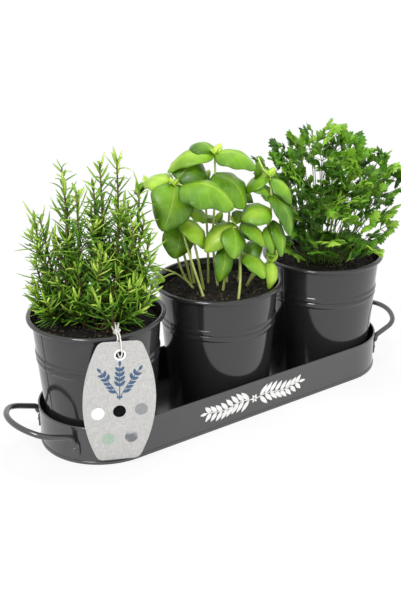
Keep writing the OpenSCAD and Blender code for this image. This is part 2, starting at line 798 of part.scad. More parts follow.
module leaf(from, to, w, thick) {
    ahead = unit(to - from);
    across = unit(cross(ahead, [0.15, -0.45, 1]));
    up = cross(across, ahead);
    inner = [for (k = [1 : leaf_rows - 1]) k / leaf_rows];
    points = concat(
        [leaf_spine(from, to, up, 0)],
        [for (v = inner)
            let (mid = leaf_spine(from, to, up, v))
            let (half = leaf_width(w, v))
            each [
                mid + across * half - up * half * leaf_cup,
                mid + up * thick / 2,
                mid - across * half - up * half * leaf_cup,
                mid - up * thick / 2
            ]],
        [leaf_spine(from, to, up, 1)]);
    last = len(points) - 1;
    bands = [for (i = [0 : leaf_rows - 3], k = [0 : 3])
        let (a = 1 + 4 * i + k)
        let (b = 1 + 4 * i + (k + 1) % 4)
        each [[a, b, a + 4], [b, b + 4, a + 4]]];
    ends = [for (k = [0 : 3])
        let (a = 1 + k)
        let (b = 1 + (k + 1) % 4)
        each [[0, b, a], [last, last - 4 + k, last - 4 + (k + 1) % 4]]];
    polyhedron(points = points, faces = concat(bands, ends));
}

module basil_plant() {
    color("#77a832")
        union() {
            for (l = basil_leaves)
                leaf(kept_in(turned(place(l[0], basil_k)), leaf_room, 0),
                    kept_in(turned(place(l[1], basil_k)), leaf_room, 0), l[2] * basil_k, basil_leaf_t);
            for (s = basil_stems)
                tube([for (p = smooth(s, 2)) turned(place(p, basil_k))],
                    stem_r * 1.2, stem_r * 0.8, 5, [0.31, 0.17, 0.93]);
            for (s = basil_stalks)
                for (i = [0, 1])
                    twig(turned(place(s[i], basil_k)), turned(place(s[i + 1], basil_k)),
                        stem_r * 0.8, stem_r * 0.7);
        }
}

// Parsley: leaves as [to the right, towards the viewer, height]
parsley_leaves = [
    [-13, 0, 121], [-3, 2, 122], [-26, 0, 111], [-37, 2, 109], [8, 0, 113],
    [20, 4, 108], [29, 2, 104], [-54, 4, 97], [-50, 6, 90], [-48, 2, 80],
    [-38, 8, 96], [-30, 12, 90], [-22, 10, 102], [-7, 14, 94], [12, 8, 100],
    [17, 14, 90], [40, 4, 92], [52, 2, 88], [57, 6, 90], [56, 0, 78],
    [55, 8, 70], [48, 4, 60], [50, 12, 52], [44, 10, 44], [50, 6, 34],
    [27, 14, 78], [4, 16, 76], [-18, 16, 76], [-44, 10, 70], [-31, 18, 64],
    [21, 24, 64], [4, 26, 62], [-14, 26, 48], [13, 30, 52], [31, 24, 48],
    [-22, 26, 34], [1, 32, 32], [19, 34, 28], [30, 28, 26], [34, 30, 21],
    [-8, 36, 24], [-26, 23, 20], [38, 16, 26], [0, -28, 92], [-24, -28, 80],
    [24, -30, 86], [-42, -22, 52], [42, -28, 54], [0, -42, 52], [18, -36, 30],
    [-20, -38, 30], [10, -14, 104], [-12, -16, 106], [36, -16, 74], [-34, -16, 74]
];
parsley_clump = 0.3;
parsley_base_r = 20;
young_shoots = 9;
lobe_outline = [
    [0, 0], [0.2, 0.12], [0.55, 0.18], [0.42, 0.36], [0.5, 0.56], [0.3, 0.5],
    [0.3, 0.72], [0.22, 0.9], [0, 1],
    [-0.22, 0.9], [-0.3, 0.72], [-0.3, 0.5], [-0.5, 0.56], [-0.42, 0.36],
    [-0.55, 0.18], [-0.2, 0.12]
];

// A flat leaf with lobes: its edge is drawn in at the notches and it is thickest in the middle
module lobed_leaf(at, ahead, w, thick) {
    across = unit(cross(ahead, [0.15, -0.45, 1]));
    up = cross(across, ahead);
    edge = [for (q = lobe_outline)
        at + w * (across * q[0] + ahead * q[1] - up * 0.25 * q[1] * q[1])];
    mid = at + w * (ahead * 0.4 - up * 0.04);
    count = len(edge);
    points = concat(edge, [mid + up * thick / 2, mid - up * thick / 2]);
    polyhedron(
        points = points,
        faces = [for (k = [0 : count - 1])
            each [[(k + 1) % count, k, count], [k, (k + 1) % count, count + 1]]]);
}

// Where a parsley stalk leaves the soil: under its leaf, but nearer the middle of the clump
function parsley_foot(to) = [to[0] * parsley_clump, to[1] * parsley_clump, soil_level];
function shoot_at(n, z) = [
    parsley_base_r * cos(golden * n),
    parsley_base_r * sin(golden * n),
    soil_level + z
];

module parsley_plant() {
    color("#4c8a2c")
        translate([pot_pitch, 0, 0])
            union() {
                for (n = [0 : len(parsley_leaves) - 1])
                    let (to = kept_in(turned(place(parsley_leaves[n], parsley_k)), parsley_leaf_w, -1))
                    let (from = parsley_foot(to))
                    let (knee = [
                        from[0] + (to[0] - from[0]) * 0.4,
                        from[1] + (to[1] - from[1]) * 0.4,
                        from[2] + (to[2] - from[2]) * 0.6
                    ])
                    let (ahead = unit(to - knee)) {
                        tube([from, knee, to], stem_r * 0.9, stem_r * 0.6, 4, [0.31, 0.17, 0.93]);
                        lobed_leaf(to - 0.6 * ahead,
                            unit(ahead + unit([to[0], to[1], 0]) * 0.8),
                            parsley_leaf_w, parsley_leaf_t);
                    }
                for (n = [1 : young_shoots])
                    twig(shoot_at(n, 0), shoot_at(n, 14), stem_r * 0.8, stem_r * 0.5);
            }
}

// Places children in the tag's own frame: the card is square to the pot's radius there
module at_tag() {
    translate([-pot_pitch, 0, 0])
        rotate([0, 0, -tag_turn])
            translate([tag_side, 0, 0])
                children();
}

module card_outline() {
    sag = (card_w - card_end_w) / 2;
    side_r = (card_h * card_h / 4 + sag * sag) / (2 * sag);
    offset(r = card_corner_r)
        offset(delta = -card_corner_r)
            intersection() {
                translate([side_r - card_w / 2, 0])
                    circle(side_r, $fn = 360);
                translate([card_w / 2 - side_r, 0])
                    circle(side_r, $fn = 360);
                square([card_w, card_h], center = true);
            }
}

module lean_about_eyelet() {
    translate([0, 0, eyelet_z])
        rotate([0, tag_lean, 0])
            translate([0, 0, -eyelet_z])
                children();
}

module tag_card() {
    color(card_grey)
        at_tag()
            lean_about_eyelet()
                difference() {
                    translate([0, card_t / 2 - card_y, card_z])
                        rotate([90, 0, 0])
                            linear_extrude(height = card_t)
                                card_outline($fn = 24);
                    translate([0, -card_y - 5, eyelet_z])
                        rotate([-90, 0, 0])
                            cylinder(r = barrel_r + eyelet_gap, h = 10);
                }
}

module tag_eyelet() {
    color("white")
        at_tag()
            translate([0, -card_y, eyelet_z])
                rotate([90, 0, 0])
                    difference() {
                        union() {
                            for (side = [0, 1])
                                mirror([0, 0, side])
                                    translate([0, 0, card_t / 2])
                                        cylinder(r = eyelet_r, h = eyelet_flange);
                            translate([0, 0, -card_t / 2])
                                cylinder(r = barrel_r, h = card_t);
                        }
                        translate([0, 0, -5])
                            cylinder(r = eyelet_hole_r, h = 10);
                    }
}

module tag_string_lower() {
    color(cotton)
        at_tag()
            tube([for (p = smooth(lower_route, 2)) tag_point(p)],
                string_r, string_r, string_sides, [1, 0, 0.01]);
}

module tag_string_upper() {
    color(cotton)
        at_tag()
            for (side = [-1, 1])
                tube([for (p = smooth(upper_route(side), 2)) tag_point(p)],
                    string_r, string_r, string_sides, [1, 0, 0]);
}

// The knot is two turns of string round the others, with its cut ends standing up
module tag_string_knot() {
    color(cotton)
        at_tag()
            translate(tag_point([0, knot_y, knot_z])) {
                rotate([60, 0, 12])
                    for (z = [-0.55, 0.55])
                        translate([0, 0, z * string_d])
                            rotate_extrude()
                                translate([knot_r - string_r, 0])
                                    circle(string_r);
                sphere(r = knot_r - string_r);
                for (lean = [-22, 16])
                    rotate([-14, lean, 0])
                        cylinder(r = string_r, h = 6.5);
            }
}

module tag_string_anchor() {
    color(cotton)
        at_tag()
            tube([for (p = smooth(anchor_route, 2)) tag_point(p)],
                string_r, string_r, string_sides, [0, 0, 1]);
}

tray_wall();
tray_floor();
handle(-1);  // handle_left
handle(1);  // handle_right
handle_rivets(-1);  // handle_rivets_left
handle_rivets(1);  // handle_rivets_right
pot_wall(-pot_pitch);  // pot_left_wall
pot_base(-pot_pitch);  // pot_left_base
soil(-pot_pitch);  // pot_left_soil
rosemary_plant();
pot_wall(0);  // pot_middle_wall
pot_base(0);  // pot_middle_base
soil(0);  // pot_middle_soil
basil_plant();
pot_wall(pot_pitch);  // pot_right_wall
pot_base(pot_pitch);  // pot_right_base
soil(pot_pitch);  // pot_right_soil
parsley_plant();
tag_card();
tag_eyelet();
tag_string_lower();
tag_string_upper();
tag_string_knot();
tag_string_anchor();
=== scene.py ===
import math
import random

import bpy
import numpy as np
from mathutils import Matrix, Vector, noise


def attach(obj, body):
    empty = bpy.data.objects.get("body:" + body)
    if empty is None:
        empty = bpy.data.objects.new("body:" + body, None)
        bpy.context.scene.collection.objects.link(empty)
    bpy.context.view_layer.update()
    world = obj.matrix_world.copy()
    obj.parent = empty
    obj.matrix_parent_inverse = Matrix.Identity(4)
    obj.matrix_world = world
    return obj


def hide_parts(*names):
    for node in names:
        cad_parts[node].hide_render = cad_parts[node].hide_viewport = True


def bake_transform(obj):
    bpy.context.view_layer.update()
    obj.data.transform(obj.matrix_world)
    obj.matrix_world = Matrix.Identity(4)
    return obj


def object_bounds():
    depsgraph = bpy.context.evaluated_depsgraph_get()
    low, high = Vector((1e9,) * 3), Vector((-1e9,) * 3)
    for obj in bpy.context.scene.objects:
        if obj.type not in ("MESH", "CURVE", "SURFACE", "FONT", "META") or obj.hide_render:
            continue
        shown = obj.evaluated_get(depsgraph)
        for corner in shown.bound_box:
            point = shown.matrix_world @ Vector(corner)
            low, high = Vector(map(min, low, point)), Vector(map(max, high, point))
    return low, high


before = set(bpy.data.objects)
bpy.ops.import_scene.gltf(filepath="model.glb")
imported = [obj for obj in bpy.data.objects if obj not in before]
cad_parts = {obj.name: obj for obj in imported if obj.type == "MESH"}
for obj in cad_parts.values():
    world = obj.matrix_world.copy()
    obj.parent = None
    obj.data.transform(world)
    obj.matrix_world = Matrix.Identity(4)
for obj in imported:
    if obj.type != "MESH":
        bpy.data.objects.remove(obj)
cad_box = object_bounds()
scene = bpy.context.scene
scene.view_settings.view_transform = "Standard"
mm = 0.001


# Camera
# The camera stands in front of the left end of the row and looks down on it a little,
# from about 84 cm away, with the photograph's field of view.
camera = bpy.data.objects.new("camera", bpy.data.cameras.new("camera"))
camera_right = Vector((0.8224, -0.5687, -0.0119))
camera_up = Vector((0.2258, 0.3071, 0.9245))
camera_back = Vector((-0.5221, -0.7631, 0.3809))
turned = Matrix((camera_right, camera_up, camera_back)).transposed().to_quaternion()
camera.matrix_world = Matrix.Translation((-0.43159, -0.60441, 0.39315)) @ turned.to_matrix().to_4x4()
camera.data.sensor_width = 36
camera.data.lens = 56.91
scene.collection.objects.link(camera)
scene.camera = camera


# Studio
# A white paper floor and white surroundings, lit by soft boxes. The white that the camera
# sees behind the object is the paper itself, which keeps a faint shadow.
def linear(code):
    """The linear colour of an sRGB hex code."""
    parts = [int(code[i:i + 2], 16) / 255 for i in (1, 3, 5)]
    return tuple(p / 12.92 if p <= 0.04045 else ((p + 0.055) / 1.055) ** 2.4 for p in parts) + (1,)


def add(finish, kind, inputs=(), stops=(), **settings):
    """Adds one shader node, with its settings, its input values or links, and a ramp's stops."""
    node = finish.node_tree.nodes.new("ShaderNode" + kind)
    for name, value in settings.items():
        setattr(node, name, value)
    for name, value in dict(inputs).items():
        if isinstance(value, bpy.types.NodeSocket):
            finish.node_tree.links.new(value, node.inputs[name])
        else:
            node.inputs[name].default_value = value
    for k, (place, code) in enumerate(stops):
        element = node.color_ramp.elements[k] if k < 2 else node.color_ramp.elements.new(place)
        element.position = place
        element.color = linear(code)
    return node


def new_finish(name):
    """An empty material."""
    finish = bpy.data.materials.new(name)
    finish.use_nodes = True
    finish.node_tree.nodes.clear()
    return finish


def paint(piece, finish):
    """Gives a piece one finish all over."""
    piece.data.materials.clear()
    piece.data.materials.append(finish)


paper = new_finish("white_studio_paper")
# Seamless paper: matt white near the object, where the shadow falls, and pure white further off.
ray = add(paper, "LightPath")
watched = add(paper, "Math", {0: ray.outputs["Is Camera Ray"], 1: ray.outputs["Is Glossy Ray"]},
              operation="MAXIMUM")
where = add(paper, "TexCoord")
reach = add(paper, "VectorMath", {0: where.outputs["Object"]}, operation="LENGTH")
glow = add(paper, "MapRange", {"Value": reach.outputs["Value"], "From Min": 0.3, "From Max": 0.9,
           "To Min": 0.86, "To Max": 1.0})
seen = add(paper, "Math", {0: watched.outputs[0], 1: glow.outputs[0]}, operation="MULTIPLY")
matt = add(paper, "BsdfDiffuse", {"Color": linear("#ececec")})
white = add(paper, "Emission", {"Color": (1, 1, 1, 1), "Strength": 1.0})
mixed = add(paper, "MixShader", {0: seen.outputs[0], 1: matt.outputs[0], 2: white.outputs[0]})
add(paper, "OutputMaterial", {"Surface": mixed.outputs[0]})

bpy.ops.object.select_all(action="DESELECT")
bpy.ops.mesh.primitive_plane_add(size=7, location=(0, 0, -0.6 * mm))
floor = bpy.context.object
floor.name = "studio_floor"
paint(floor, paper)

world = bpy.data.worlds.new("studio_world")
scene.world = world
world.use_nodes = True
world.node_tree.nodes.clear()
ray = add(world, "LightPath")
plain = add(world, "Math", {0: ray.outputs["Is Camera Ray"], 1: ray.outputs["Is Glossy Ray"]},
            operation="MAXIMUM")
dim = add(world, "Background", {"Color": (1, 1, 1, 1), "Strength": 0.42})
bright = add(world, "Background", {"Color": (1, 1, 1, 1), "Strength": 1.0})
mixed = add(world, "MixShader", {0: plain.outputs[0], 1: dim.outputs[0], 2: bright.outputs[0]})
add(world, "OutputWorld", {"Surface": mixed.outputs[0]})

# Only the left box is seen in the enamel, as a soft stripe.
for name, place, size, watts in (
        ("soft_box_front", (0.45, -1.35, 0.75), 0.8, 12),
        ("soft_box_left", (-1.15, -0.55, 1.25), 0.5, 14),
        ("soft_box_top", (0.2, 0.3, 1.5), 0.7, 14)):
    lamp = bpy.data.lights.new(name, "AREA")
    lamp.shape = "SQUARE"
    lamp.size = size
    lamp.energy = watts
    holder = bpy.data.objects.new(name, lamp)
    holder.location = place
    holder.visible_glossy = name == "soft_box_left"
    holder.rotation_euler = (Vector((0, 0, 0.1)) - Vector(place)).to_track_quat("-Z", "Y").to_euler()
    scene.collection.objects.link(holder)


# The tag's string
# One doubled length of two-ply cotton. It comes from the knot inside the rim, goes over the rim,
# down through the eyelet and back.
pot_pitch = 116
tag_turn = math.radians(21)
tag_side = 9
card_y = 55.6
rim_z = 107.3
hinge_z = 106.4
eyelet_z = 93.9
knot_y = 45.5
knot_z = 107.9
cotton_d = 1.2
lay_turns = 420
ring_gap = 0.4 * mm


def by_card(p):
    """A point given along the card, out from the pot's axis, and up, in millimetres."""
    x = tag_side + p[0]
    return Vector((-pot_pitch + x * math.cos(tag_turn) - p[1] * math.sin(tag_turn),
                   -x * math.sin(tag_turn) - p[1] * math.cos(tag_turn), p[2])) * mm


def smooth(route, steps):
    """Points on a smooth curve through the route's points."""
    out = []
    for i in range(len(route) - 1):
        a, b = route[max(i - 1, 0)], route[i]
        c, d = route[i + 1], route[min(i + 2, len(route) - 1)]
        for k in range(steps):
            t = k / steps
            out.append(0.5 * (2 * b + (c - a) * t + (2 * a - 5 * b + 4 * c - d) * t * t
                              + (3 * b - a - 3 * c + d) * t ** 3))
    return out + [route[-1]]


def even(points, gap):
    """The same line with its points an even gap apart."""
    marks = [0.0]
    for a, b in zip(points, points[1:]):
        marks.append(marks[-1] + (b - a).length)
    parts = max(2, round(marks[-1] / gap))
    out, i = [], 0
    for k in range(parts + 1):
        s = marks[-1] * k / parts
        while i < len(marks) - 2 and marks[i + 1] < s:
            i += 1
        out.append(points[i].lerp(points[i + 1], (s - marks[i]) / max(marks[i + 1] - marks[i], 1e-12)))
    return out


def frames(points):
    """Along a line, the two directions square to it at each point, without twist."""
    ahead = [(points[min(i + 1, len(points) - 1)] - points[max(i - 1, 0)]).normalized()
             for i in range(len(points))]
    side = ahead[0].orthogonal().normalized()
    out = []
    for a in ahead:
        side = (side - a * side.dot(a)).normalized()
        out.append((side, a.cross(side)))
    return out


def from_faces(name, points, faces):
    """A piece made of points and faces."""
    mesh = bpy.data.meshes.new(name)
    mesh.from_pydata(points, [], faces)
    piece = bpy.data.objects.new(name, mesh)
    scene.collection.objects.link(piece)
    return piece


def skin(name, rings):
    """A closed, smooth solid through rings of points."""
    sides = len(rings[0])
    last_ring = (len(rings) - 1) * sides
    faces = [(i * sides + k, i * sides + (k + 1) % sides, (i + 1) * sides + (k + 1) % sides,
              (i + 1) * sides + k) for i in range(len(rings) - 1) for k in range(sides)]
    faces += [tuple(range(sides))[::-1], tuple(range(last_ring, last_ring + sides))]
    piece = from_faces(name, [p for ring in rings for p in ring], faces)
    piece.data.polygons.foreach_set("use_smooth", [True] * len(faces))
    return piece


def round_a_circle(steps):
    """The angles of even steps round a circle."""
    return [2 * math.pi * k / steps for k in range(steps)]


def lay_of(points, thin_ends=False):
    """Rings of the two-ply string along the points: two round lobes that turn as they go."""
    rings, s = [], 0.0
    for i, (p, (u, v)) in enumerate(zip(points, frames(points))):
        s += (p - points[i - 1]).length if i else 0
        turn = 2 * math.pi * lay_turns * s
        share = 1 if not thin_ends else min(1, 0.25 + 0.75 * min(i, len(points) - 1 - i) / 4)
        ring = []
        for a in round_a_circle(12):
            r = cotton_d * mm / 2 * share * (0.88 + 0.16 * math.cos(2 * (a - turn)))
            ring.append(p + (u * math.cos(a) + v * math.sin(a)) * r)
        rings.append(ring)
    return rings


cotton = new_finish("twisted_natural_cotton")
# Bleached cotton: dull and soft, with fuzz of 0.4 mm that is a little darker in places.
where = add(cotton, "TexCoord")
fuzz = add(cotton, "TexNoise", {"Vector": where.outputs["Object"], "Scale": 2500, "Detail": 3})
shade = add(cotton, "ValToRGB", {"Fac": fuzz.outputs["Fac"]}, stops=((0.3, "#cfcbc2"), (0.7, "#f3f1ec")))
bump = add(cotton, "Bump", {"Height": fuzz.outputs["Fac"], "Strength": 0.5, "Distance": 0.0001})
body = add(cotton, "BsdfPrincipled", {"Base Color": shade.outputs["Color"], "Roughness": 0.9,
           "Sheen Weight": 0.3, "Normal": bump.outputs["Normal"]})
add(cotton, "OutputMaterial", {"Surface": body.outputs[0]})

strand_x = 0.9
front_y = card_y + 1.6
back_y = card_y - 1.6
hinge_gap = 0.45
# The string's route: along the card, out from the pot's axis, and up.
over_rim = [[strand_x, card_y - hinge_gap * 0.7, hinge_z + hinge_gap * 0.7],
            [strand_x, card_y - 1.4, rim_z + 0.7],
            [strand_x, card_y - 3.4, rim_z + 0.9],
            [strand_x, card_y - 6, rim_z + 0.8],
            [strand_x - 0.1, knot_y + 2, knot_z + 0.2],
            [strand_x - 0.2, knot_y + 0.6, knot_z + 0.1]]
through_eyelet = [[strand_x, card_y, hinge_z - hinge_gap],
                  [strand_x + 0.1, card_y + 0.6, hinge_z - 1],
                  [strand_x + 0.2, card_y + 1.15, hinge_z - 2.1],
                  [strand_x + 0.3, front_y, hinge_z - 4.2],
                  [strand_x + 0.5, front_y + 0.1, eyelet_z + 4],
                  [strand_x + 0.4, front_y - 0.2, eyelet_z + 1],
                  [0.7, card_y + 0.9, eyelet_z - 1.4],
                  [0, card_y, eyelet_z - 2],
                  [-0.7, card_y - 0.9, eyelet_z - 1.4],
                  [-strand_x - 0.4, back_y + 0.2, eyelet_z + 1],
                  [-strand_x - 0.5, back_y, eyelet_z + 4],
                  [-strand_x - 0.3, back_y, hinge_z - 4.8],
                  [-strand_x - 0.2, card_y - 1.15, hinge_z - 2.1],
                  [-strand_x - 0.1, card_y - 0.6, hinge_z - 1],
                  [-strand_x, card_y, hinge_z - hinge_gap]]
whole = over_rim[::-1] + through_eyelet + [[-p[0], p[1], p[2]] for p in over_rim]
line = even(smooth([by_card(p) for p in whole], 6), 0.35 * mm)
string = skin("tag_string", lay_of(line))
paint(string, cotton)
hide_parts("tag_string_lower", "tag_string_upper")

# The tie runs from the knot round the nearest rosemary stem and back; the card's weight keeps it tight.
anchor_y = 30
anchor_z = rim_z + 0.2
tie_route = [[1.4, knot_y - 1, knot_z - 0.2], [1.8, anchor_y + 11, anchor_z + 0.2],
             [2, anchor_y + 6, anchor_z + 0.1], [2.1, anchor_y + 1.5, anchor_z],
             [1.7, anchor_y - 1.3, anchor_z], [0, anchor_y - 2.3, anchor_z],
             [-1.7, anchor_y - 1.3, anchor_z], [-2.1, anchor_y + 1.5, anchor_z],
             [-2, anchor_y + 6, anchor_z + 0.1], [-1.8, anchor_y + 11, anchor_z + 0.2],
             [-1.4, knot_y - 1, knot_z - 0.2]]
tie_line = even(smooth([by_card(p) for p in tie_route], 6), ring_gap)
tie = skin("tag_string_tie", lay_of(tie_line))
paint(tie, cotton)
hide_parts("tag_string_anchor")


def astray(reach):
    """A random level step of up to a reach each way."""
    return Vector((random.uniform(-reach, reach), random.uniform(-reach, reach), 0))


# The knot: the string's ends go three times round the strands and stand up, with frayed tips.
random.seed(4)
fibre_r = 0.16 * mm
knot_middle = by_card([0, knot_y, knot_z])
turn_axis = Matrix.Rotation(math.radians(24), 3, "X") @ Matrix.Rotation(math.radians(14), 3, "Y")
knot_turns, knot_h = 3.1, 4.2
knot_half_w, knot_half_t = 1.9, 1.6
coil = []
for k in range(61):
    a = 2 * math.pi * knot_turns * k / 60
    coil.append(knot_middle + turn_axis @ Vector((knot_half_w * math.cos(a), knot_half_t * math.sin(a),
                                                  knot_h * (k / 60 - 0.5))) * mm)
knot_pieces = [skin("turns", lay_of(even(coil, ring_gap), thin_ends=True))]
for lean, start in ((-0.16, -0.5), (0.13, 0.6)):
    foot = knot_middle + Vector((start, 0, 0.4)) * mm
    tail = [foot, foot + Vector((lean * 1.2, -0.2, 2.2)) * mm, foot + Vector((lean * 5, -0.7, 5)) * mm]
    knot_pieces.append(skin("tail", lay_of(even(smooth(tail, 8), ring_gap))))
    for k in range(7):
        out = Vector((lean * 0.5 + random.uniform(-0.35, 0.35), random.uniform(-0.4, 0.3), 1)).normalized()
        root = tail[-1] - out * 0.6 * mm + astray(0.25) * mm
        tip = root + out * random.uniform(1.8, 3.2) * mm
        bend = root.lerp(tip, 0.5) + astray(0.3) * mm
        fibre = smooth([root, bend, tip], 2)
        rings = [[p + (u * math.cos(t) + v * math.sin(t)) * fibre_r * (1 - 0.6 * i / 4)
                  for t in (0, 2.09, 4.19)] for i, (p, (u, v)) in enumerate(zip(fibre, frames(fibre)))]
        knot_pieces.append(skin("fibre", rings))


def join(pieces, name):
    """Joins pieces into the first one."""
    bpy.ops.object.select_all(action="DESELECT")
    for piece in pieces:
        piece.select_set(True)
    bpy.context.view_layer.objects.active = pieces[0]
    bpy.ops.object.join()
    pieces[0].name = name
    pieces[0].data.name = name
    return pieces[0]


knot = join(knot_pieces, "tag_string_knot_piece")
paint(knot, cotton)
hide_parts("tag_string_knot")
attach(knot, "pot_left")
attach(tie, "pot_left")
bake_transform(string)


# Tray
# A strip of thin steel bent round two half circles, seamed to a floor plate, with a rolled hem
# at the top, and painted all over.
def painted_steel(name, colour, rough, gloss, coat):
    """Sprayed enamel on sheet steel: dark, glossy, with a faint orange peel of 1.5 mm.

    Over about 70 mm its tone and gloss change very little."""
    finish = new_finish(name)
    where = add(finish, "TexCoord")
    peel = add(finish, "TexNoise", {"Vector": where.outputs["Object"], "Scale": 650, "Detail": 2})
    waves = add(finish, "TexNoise", {"Vector": where.outputs["Object"], "Scale": 14, "Detail": 1})
    uneven = add(finish, "MapRange", {"Value": waves.outputs["Fac"], "To Min": rough - 0.02,
                 "To Max": rough + 0.03})
    tint = add(finish, "ValToRGB", {"Fac": waves.outputs["Fac"]}, stops=((0.3, colour[0]), (0.7, colour[1])))
    bump = add(finish, "Bump", {"Height": peel.outputs["Fac"], "Strength": 0.08, "Distance": 0.00004})
    body = add(finish, "BsdfPrincipled", {"Base Color": tint.outputs["Color"],
               "Roughness": uneven.outputs[0], "Specular IOR Level": gloss, "Coat Weight": coat,
               "Coat Roughness": 0.06, "Normal": bump.outputs["Normal"]})
    add(finish, "OutputMaterial", {"Surface": body.outputs[0]})
    return finish


# One enamel in two tones. The tray, its handles and rivets get the lighter tone: painted light, for the front
# light that the tray's front catches.
charcoal = painted_steel("charcoal_enamel", ("#2e2e30", "#323234"), 0.15, 1.0, 0.15)
# The tray's floor and the pots' bases get the pots' darker tone: painted shade, where the walls and plants
# shade them.
charcoal_floor_painted_shade = painted_steel("charcoal_enamel_floor_painted_shade", ("#252526", "#29292a"), 0.2, 0.6, 0.0)
for node in ("tray_wall", "handle_rivets_left", "handle_rivets_right"):
    paint(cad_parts[node], charcoal)
paint(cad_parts["tray_floor"], charcoal_floor_painted_shade)


# Handles
# Each handle is one mild steel rod bent to a loop, its two ends beaten flat to tabs that
# follow the round of the tray's end. A domed rivet holds each tab.
tray_half_w = 51.438
end_x = 114.0
rod_r = 2.3
leg_y = 30.6
leg_l = 13
rise = math.radians(18.5)
corner_r = 17
corner_turn = math.radians(50)
elbow_r = 4
upright_z = 20.4
tab_z, tab_h, tab_w, tab_t = 6.5, 13, 9, 1.6
tab_round = 2.5
tab_shoulder = 3.5
tab_r = tray_half_w + 0.05
rod_seat = tab_r + rod_r
leg_turn = math.asin(leg_y / rod_seat)
upright_x = end_x + rod_seat * math.cos(leg_turn)
elbow_turn = math.pi / 2 - rise
front_r = corner_r + (leg_y - corner_r) / math.cos(corner_turn)
front_x = leg_l + (corner_r - front_r) * math.sin(corner_turn)
tab_mid = ((tab_r + tab_t / 2) * math.cos(leg_turn) + end_x, (tab_r + tab_t / 2) * math.sin(leg_turn))
flat_z = tab_z + tab_h - 3.2
upright_rings = 4


def in_loop(x, y):
    """A point of the loop's sloping plane."""
    return (upright_x + elbow_r + x * math.cos(rise) - elbow_r * math.sin(rise), y,
            upright_z + x * math.sin(rise) + elbow_r * math.cos(rise))


def half_rod():
    """Half of the rod's middle line: place, half width, half thickness, turn of the flat."""
    out = [((tab_mid[0], tab_mid[1], flat_z - 1.2), tab_w / 2 - 0.6, tab_t / 2 - 0.25, -leg_turn),
           ((tab_mid[0], tab_mid[1], flat_z + 0.4), tab_w / 2 - 0.5, tab_t / 2, -leg_turn),
           ((tab_mid[0] + 0.3, tab_mid[1] + 0.1, flat_z + 1.9), tab_w / 2 - 1.2, tab_t / 2 + 0.35, -leg_turn),
           ((upright_x - 0.45, leg_y - 0.25, upright_z - 1.9), rod_r * 1.3, rod_r * 0.76, -leg_turn * 0.7)]
    for k in range(13):
        a = elbow_turn * k / 12
        out.append(((upright_x + elbow_r * (1 - math.cos(a)), leg_y, upright_z + elbow_r * math.sin(a)),
                    rod_r, rod_r, 0))
    for k in range(15):
        a = math.pi / 2 - corner_turn * k / 14
        out.append((in_loop(leg_l + corner_r * math.cos(a), leg_y - corner_r + corner_r * math.sin(a)),
                    rod_r, rod_r, 0))
    for k in range(1, 13):
        a = (math.pi / 2 - corner_turn) * (1 - k / 12)
        out.append((in_loop(front_x + front_r * math.cos(a), front_r * math.sin(a)), rod_r, rod_r, 0))
    return out


def face_outwards(piece):
    """Turns a closed piece's faces outwards."""
    bpy.ops.object.select_all(action="DESELECT")
    piece.select_set(True)
    bpy.context.view_layer.objects.active = piece
    bpy.ops.object.mode_set(mode="EDIT")
    bpy.ops.mesh.select_all(action="SELECT")
    bpy.ops.mesh.normals_make_consistent(inside=False)
    bpy.ops.object.mode_set(mode="OBJECT")


def thicken(piece, thickness, offset):
    """Gives a sheet its thickness, in front of it (1), half on each side (0) or behind it (-1)."""
    bpy.context.view_layer.objects.active = piece
    solid = piece.modifiers.new("thick", "SOLIDIFY")
    solid.thickness = thickness
    solid.offset = offset
    bpy.ops.object.modifier_apply(modifier="thick")


def soften(piece, width, sharpest):
    """Rounds the edges of a piece that turn by more than an angle in degrees."""
    bpy.context.view_layer.objects.active = piece
    edge = piece.modifiers.new("soft edge", "BEVEL")
    edge.width = width
    edge.segments = 2
    edge.limit_method = "ANGLE"
    edge.angle_limit = math.radians(sharpest)
    bpy.ops.object.modifier_apply(modifier="soft edge")


def handle(name, side):
    """One handle: its bent rod and its two tabs, at the right end or mirrored to the left."""
    half = half_rod()
    whole = [((p[0], -p[1], p[2]), w, t, turn) for p, w, t, turn in half] + half[-2::-1]
    path = [Vector(entry[0]) for entry in whole]
    loop_up = Vector((-math.sin(rise), 0, math.cos(rise)))
    rings = []
    for i, (place, wide, thick, turn) in enumerate(whole):
        if i < upright_rings or i >= len(whole) - upright_rings:
            ahead = Vector((0, 0, 1 if i < upright_rings else -1))
        else:
            ahead = (path[i + 1] - path[i - 1]).normalized()
        u = loop_up.cross(ahead).normalized()
        v = ahead.cross(u)
        flat = u * math.cos(turn) + v * math.sin(turn)
        across = v * math.cos(turn) - u * math.sin(turn)
        rings.append([(path[i] + wide * flat * math.cos(a) + thick * across * math.sin(a)) * mm
                      for a in round_a_circle(24)])
    pieces = [skin(name, rings)]
    for leg in (-1, 1):
        bpy.ops.object.select_all(action="DESELECT")
        bpy.ops.mesh.primitive_grid_add(x_subdivisions=10, y_subdivisions=16, size=2)
        tab = bpy.context.object
        for v in tab.data.vertices:
            up = (v.co.y + 1) / 2 * tab_h
            low = max(0.0, tab_round - up)
            half_w = tab_w / 2 - tab_round + math.sqrt(max(0.0, tab_round * tab_round - low * low))
            top = max(0.0, up - (tab_h - tab_shoulder))
            half_w -= top * top * 0.16
            a = leg * leg_turn + v.co.x * half_w / tab_r
            v.co = Vector((end_x + tab_r * math.cos(a), tab_r * math.sin(a), tab_z + up)) * mm
        thicken(tab, tab_t * mm, 1)
        soften(tab, 0.35 * mm, 30)
        bpy.ops.object.shade_smooth_by_angle(angle=math.radians(40))
        pieces.append(tab)
    piece = join(pieces, name)
    if side < 0:
        for v in piece.data.vertices:
            v.co.x = -v.co.x
    face_outwards(piece)
    paint(piece, charcoal)
    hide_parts(name.replace("_rod", ""))
    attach(piece, "tray")


handle("handle_left_rod", -1)
handle("handle_right_rod", 1)


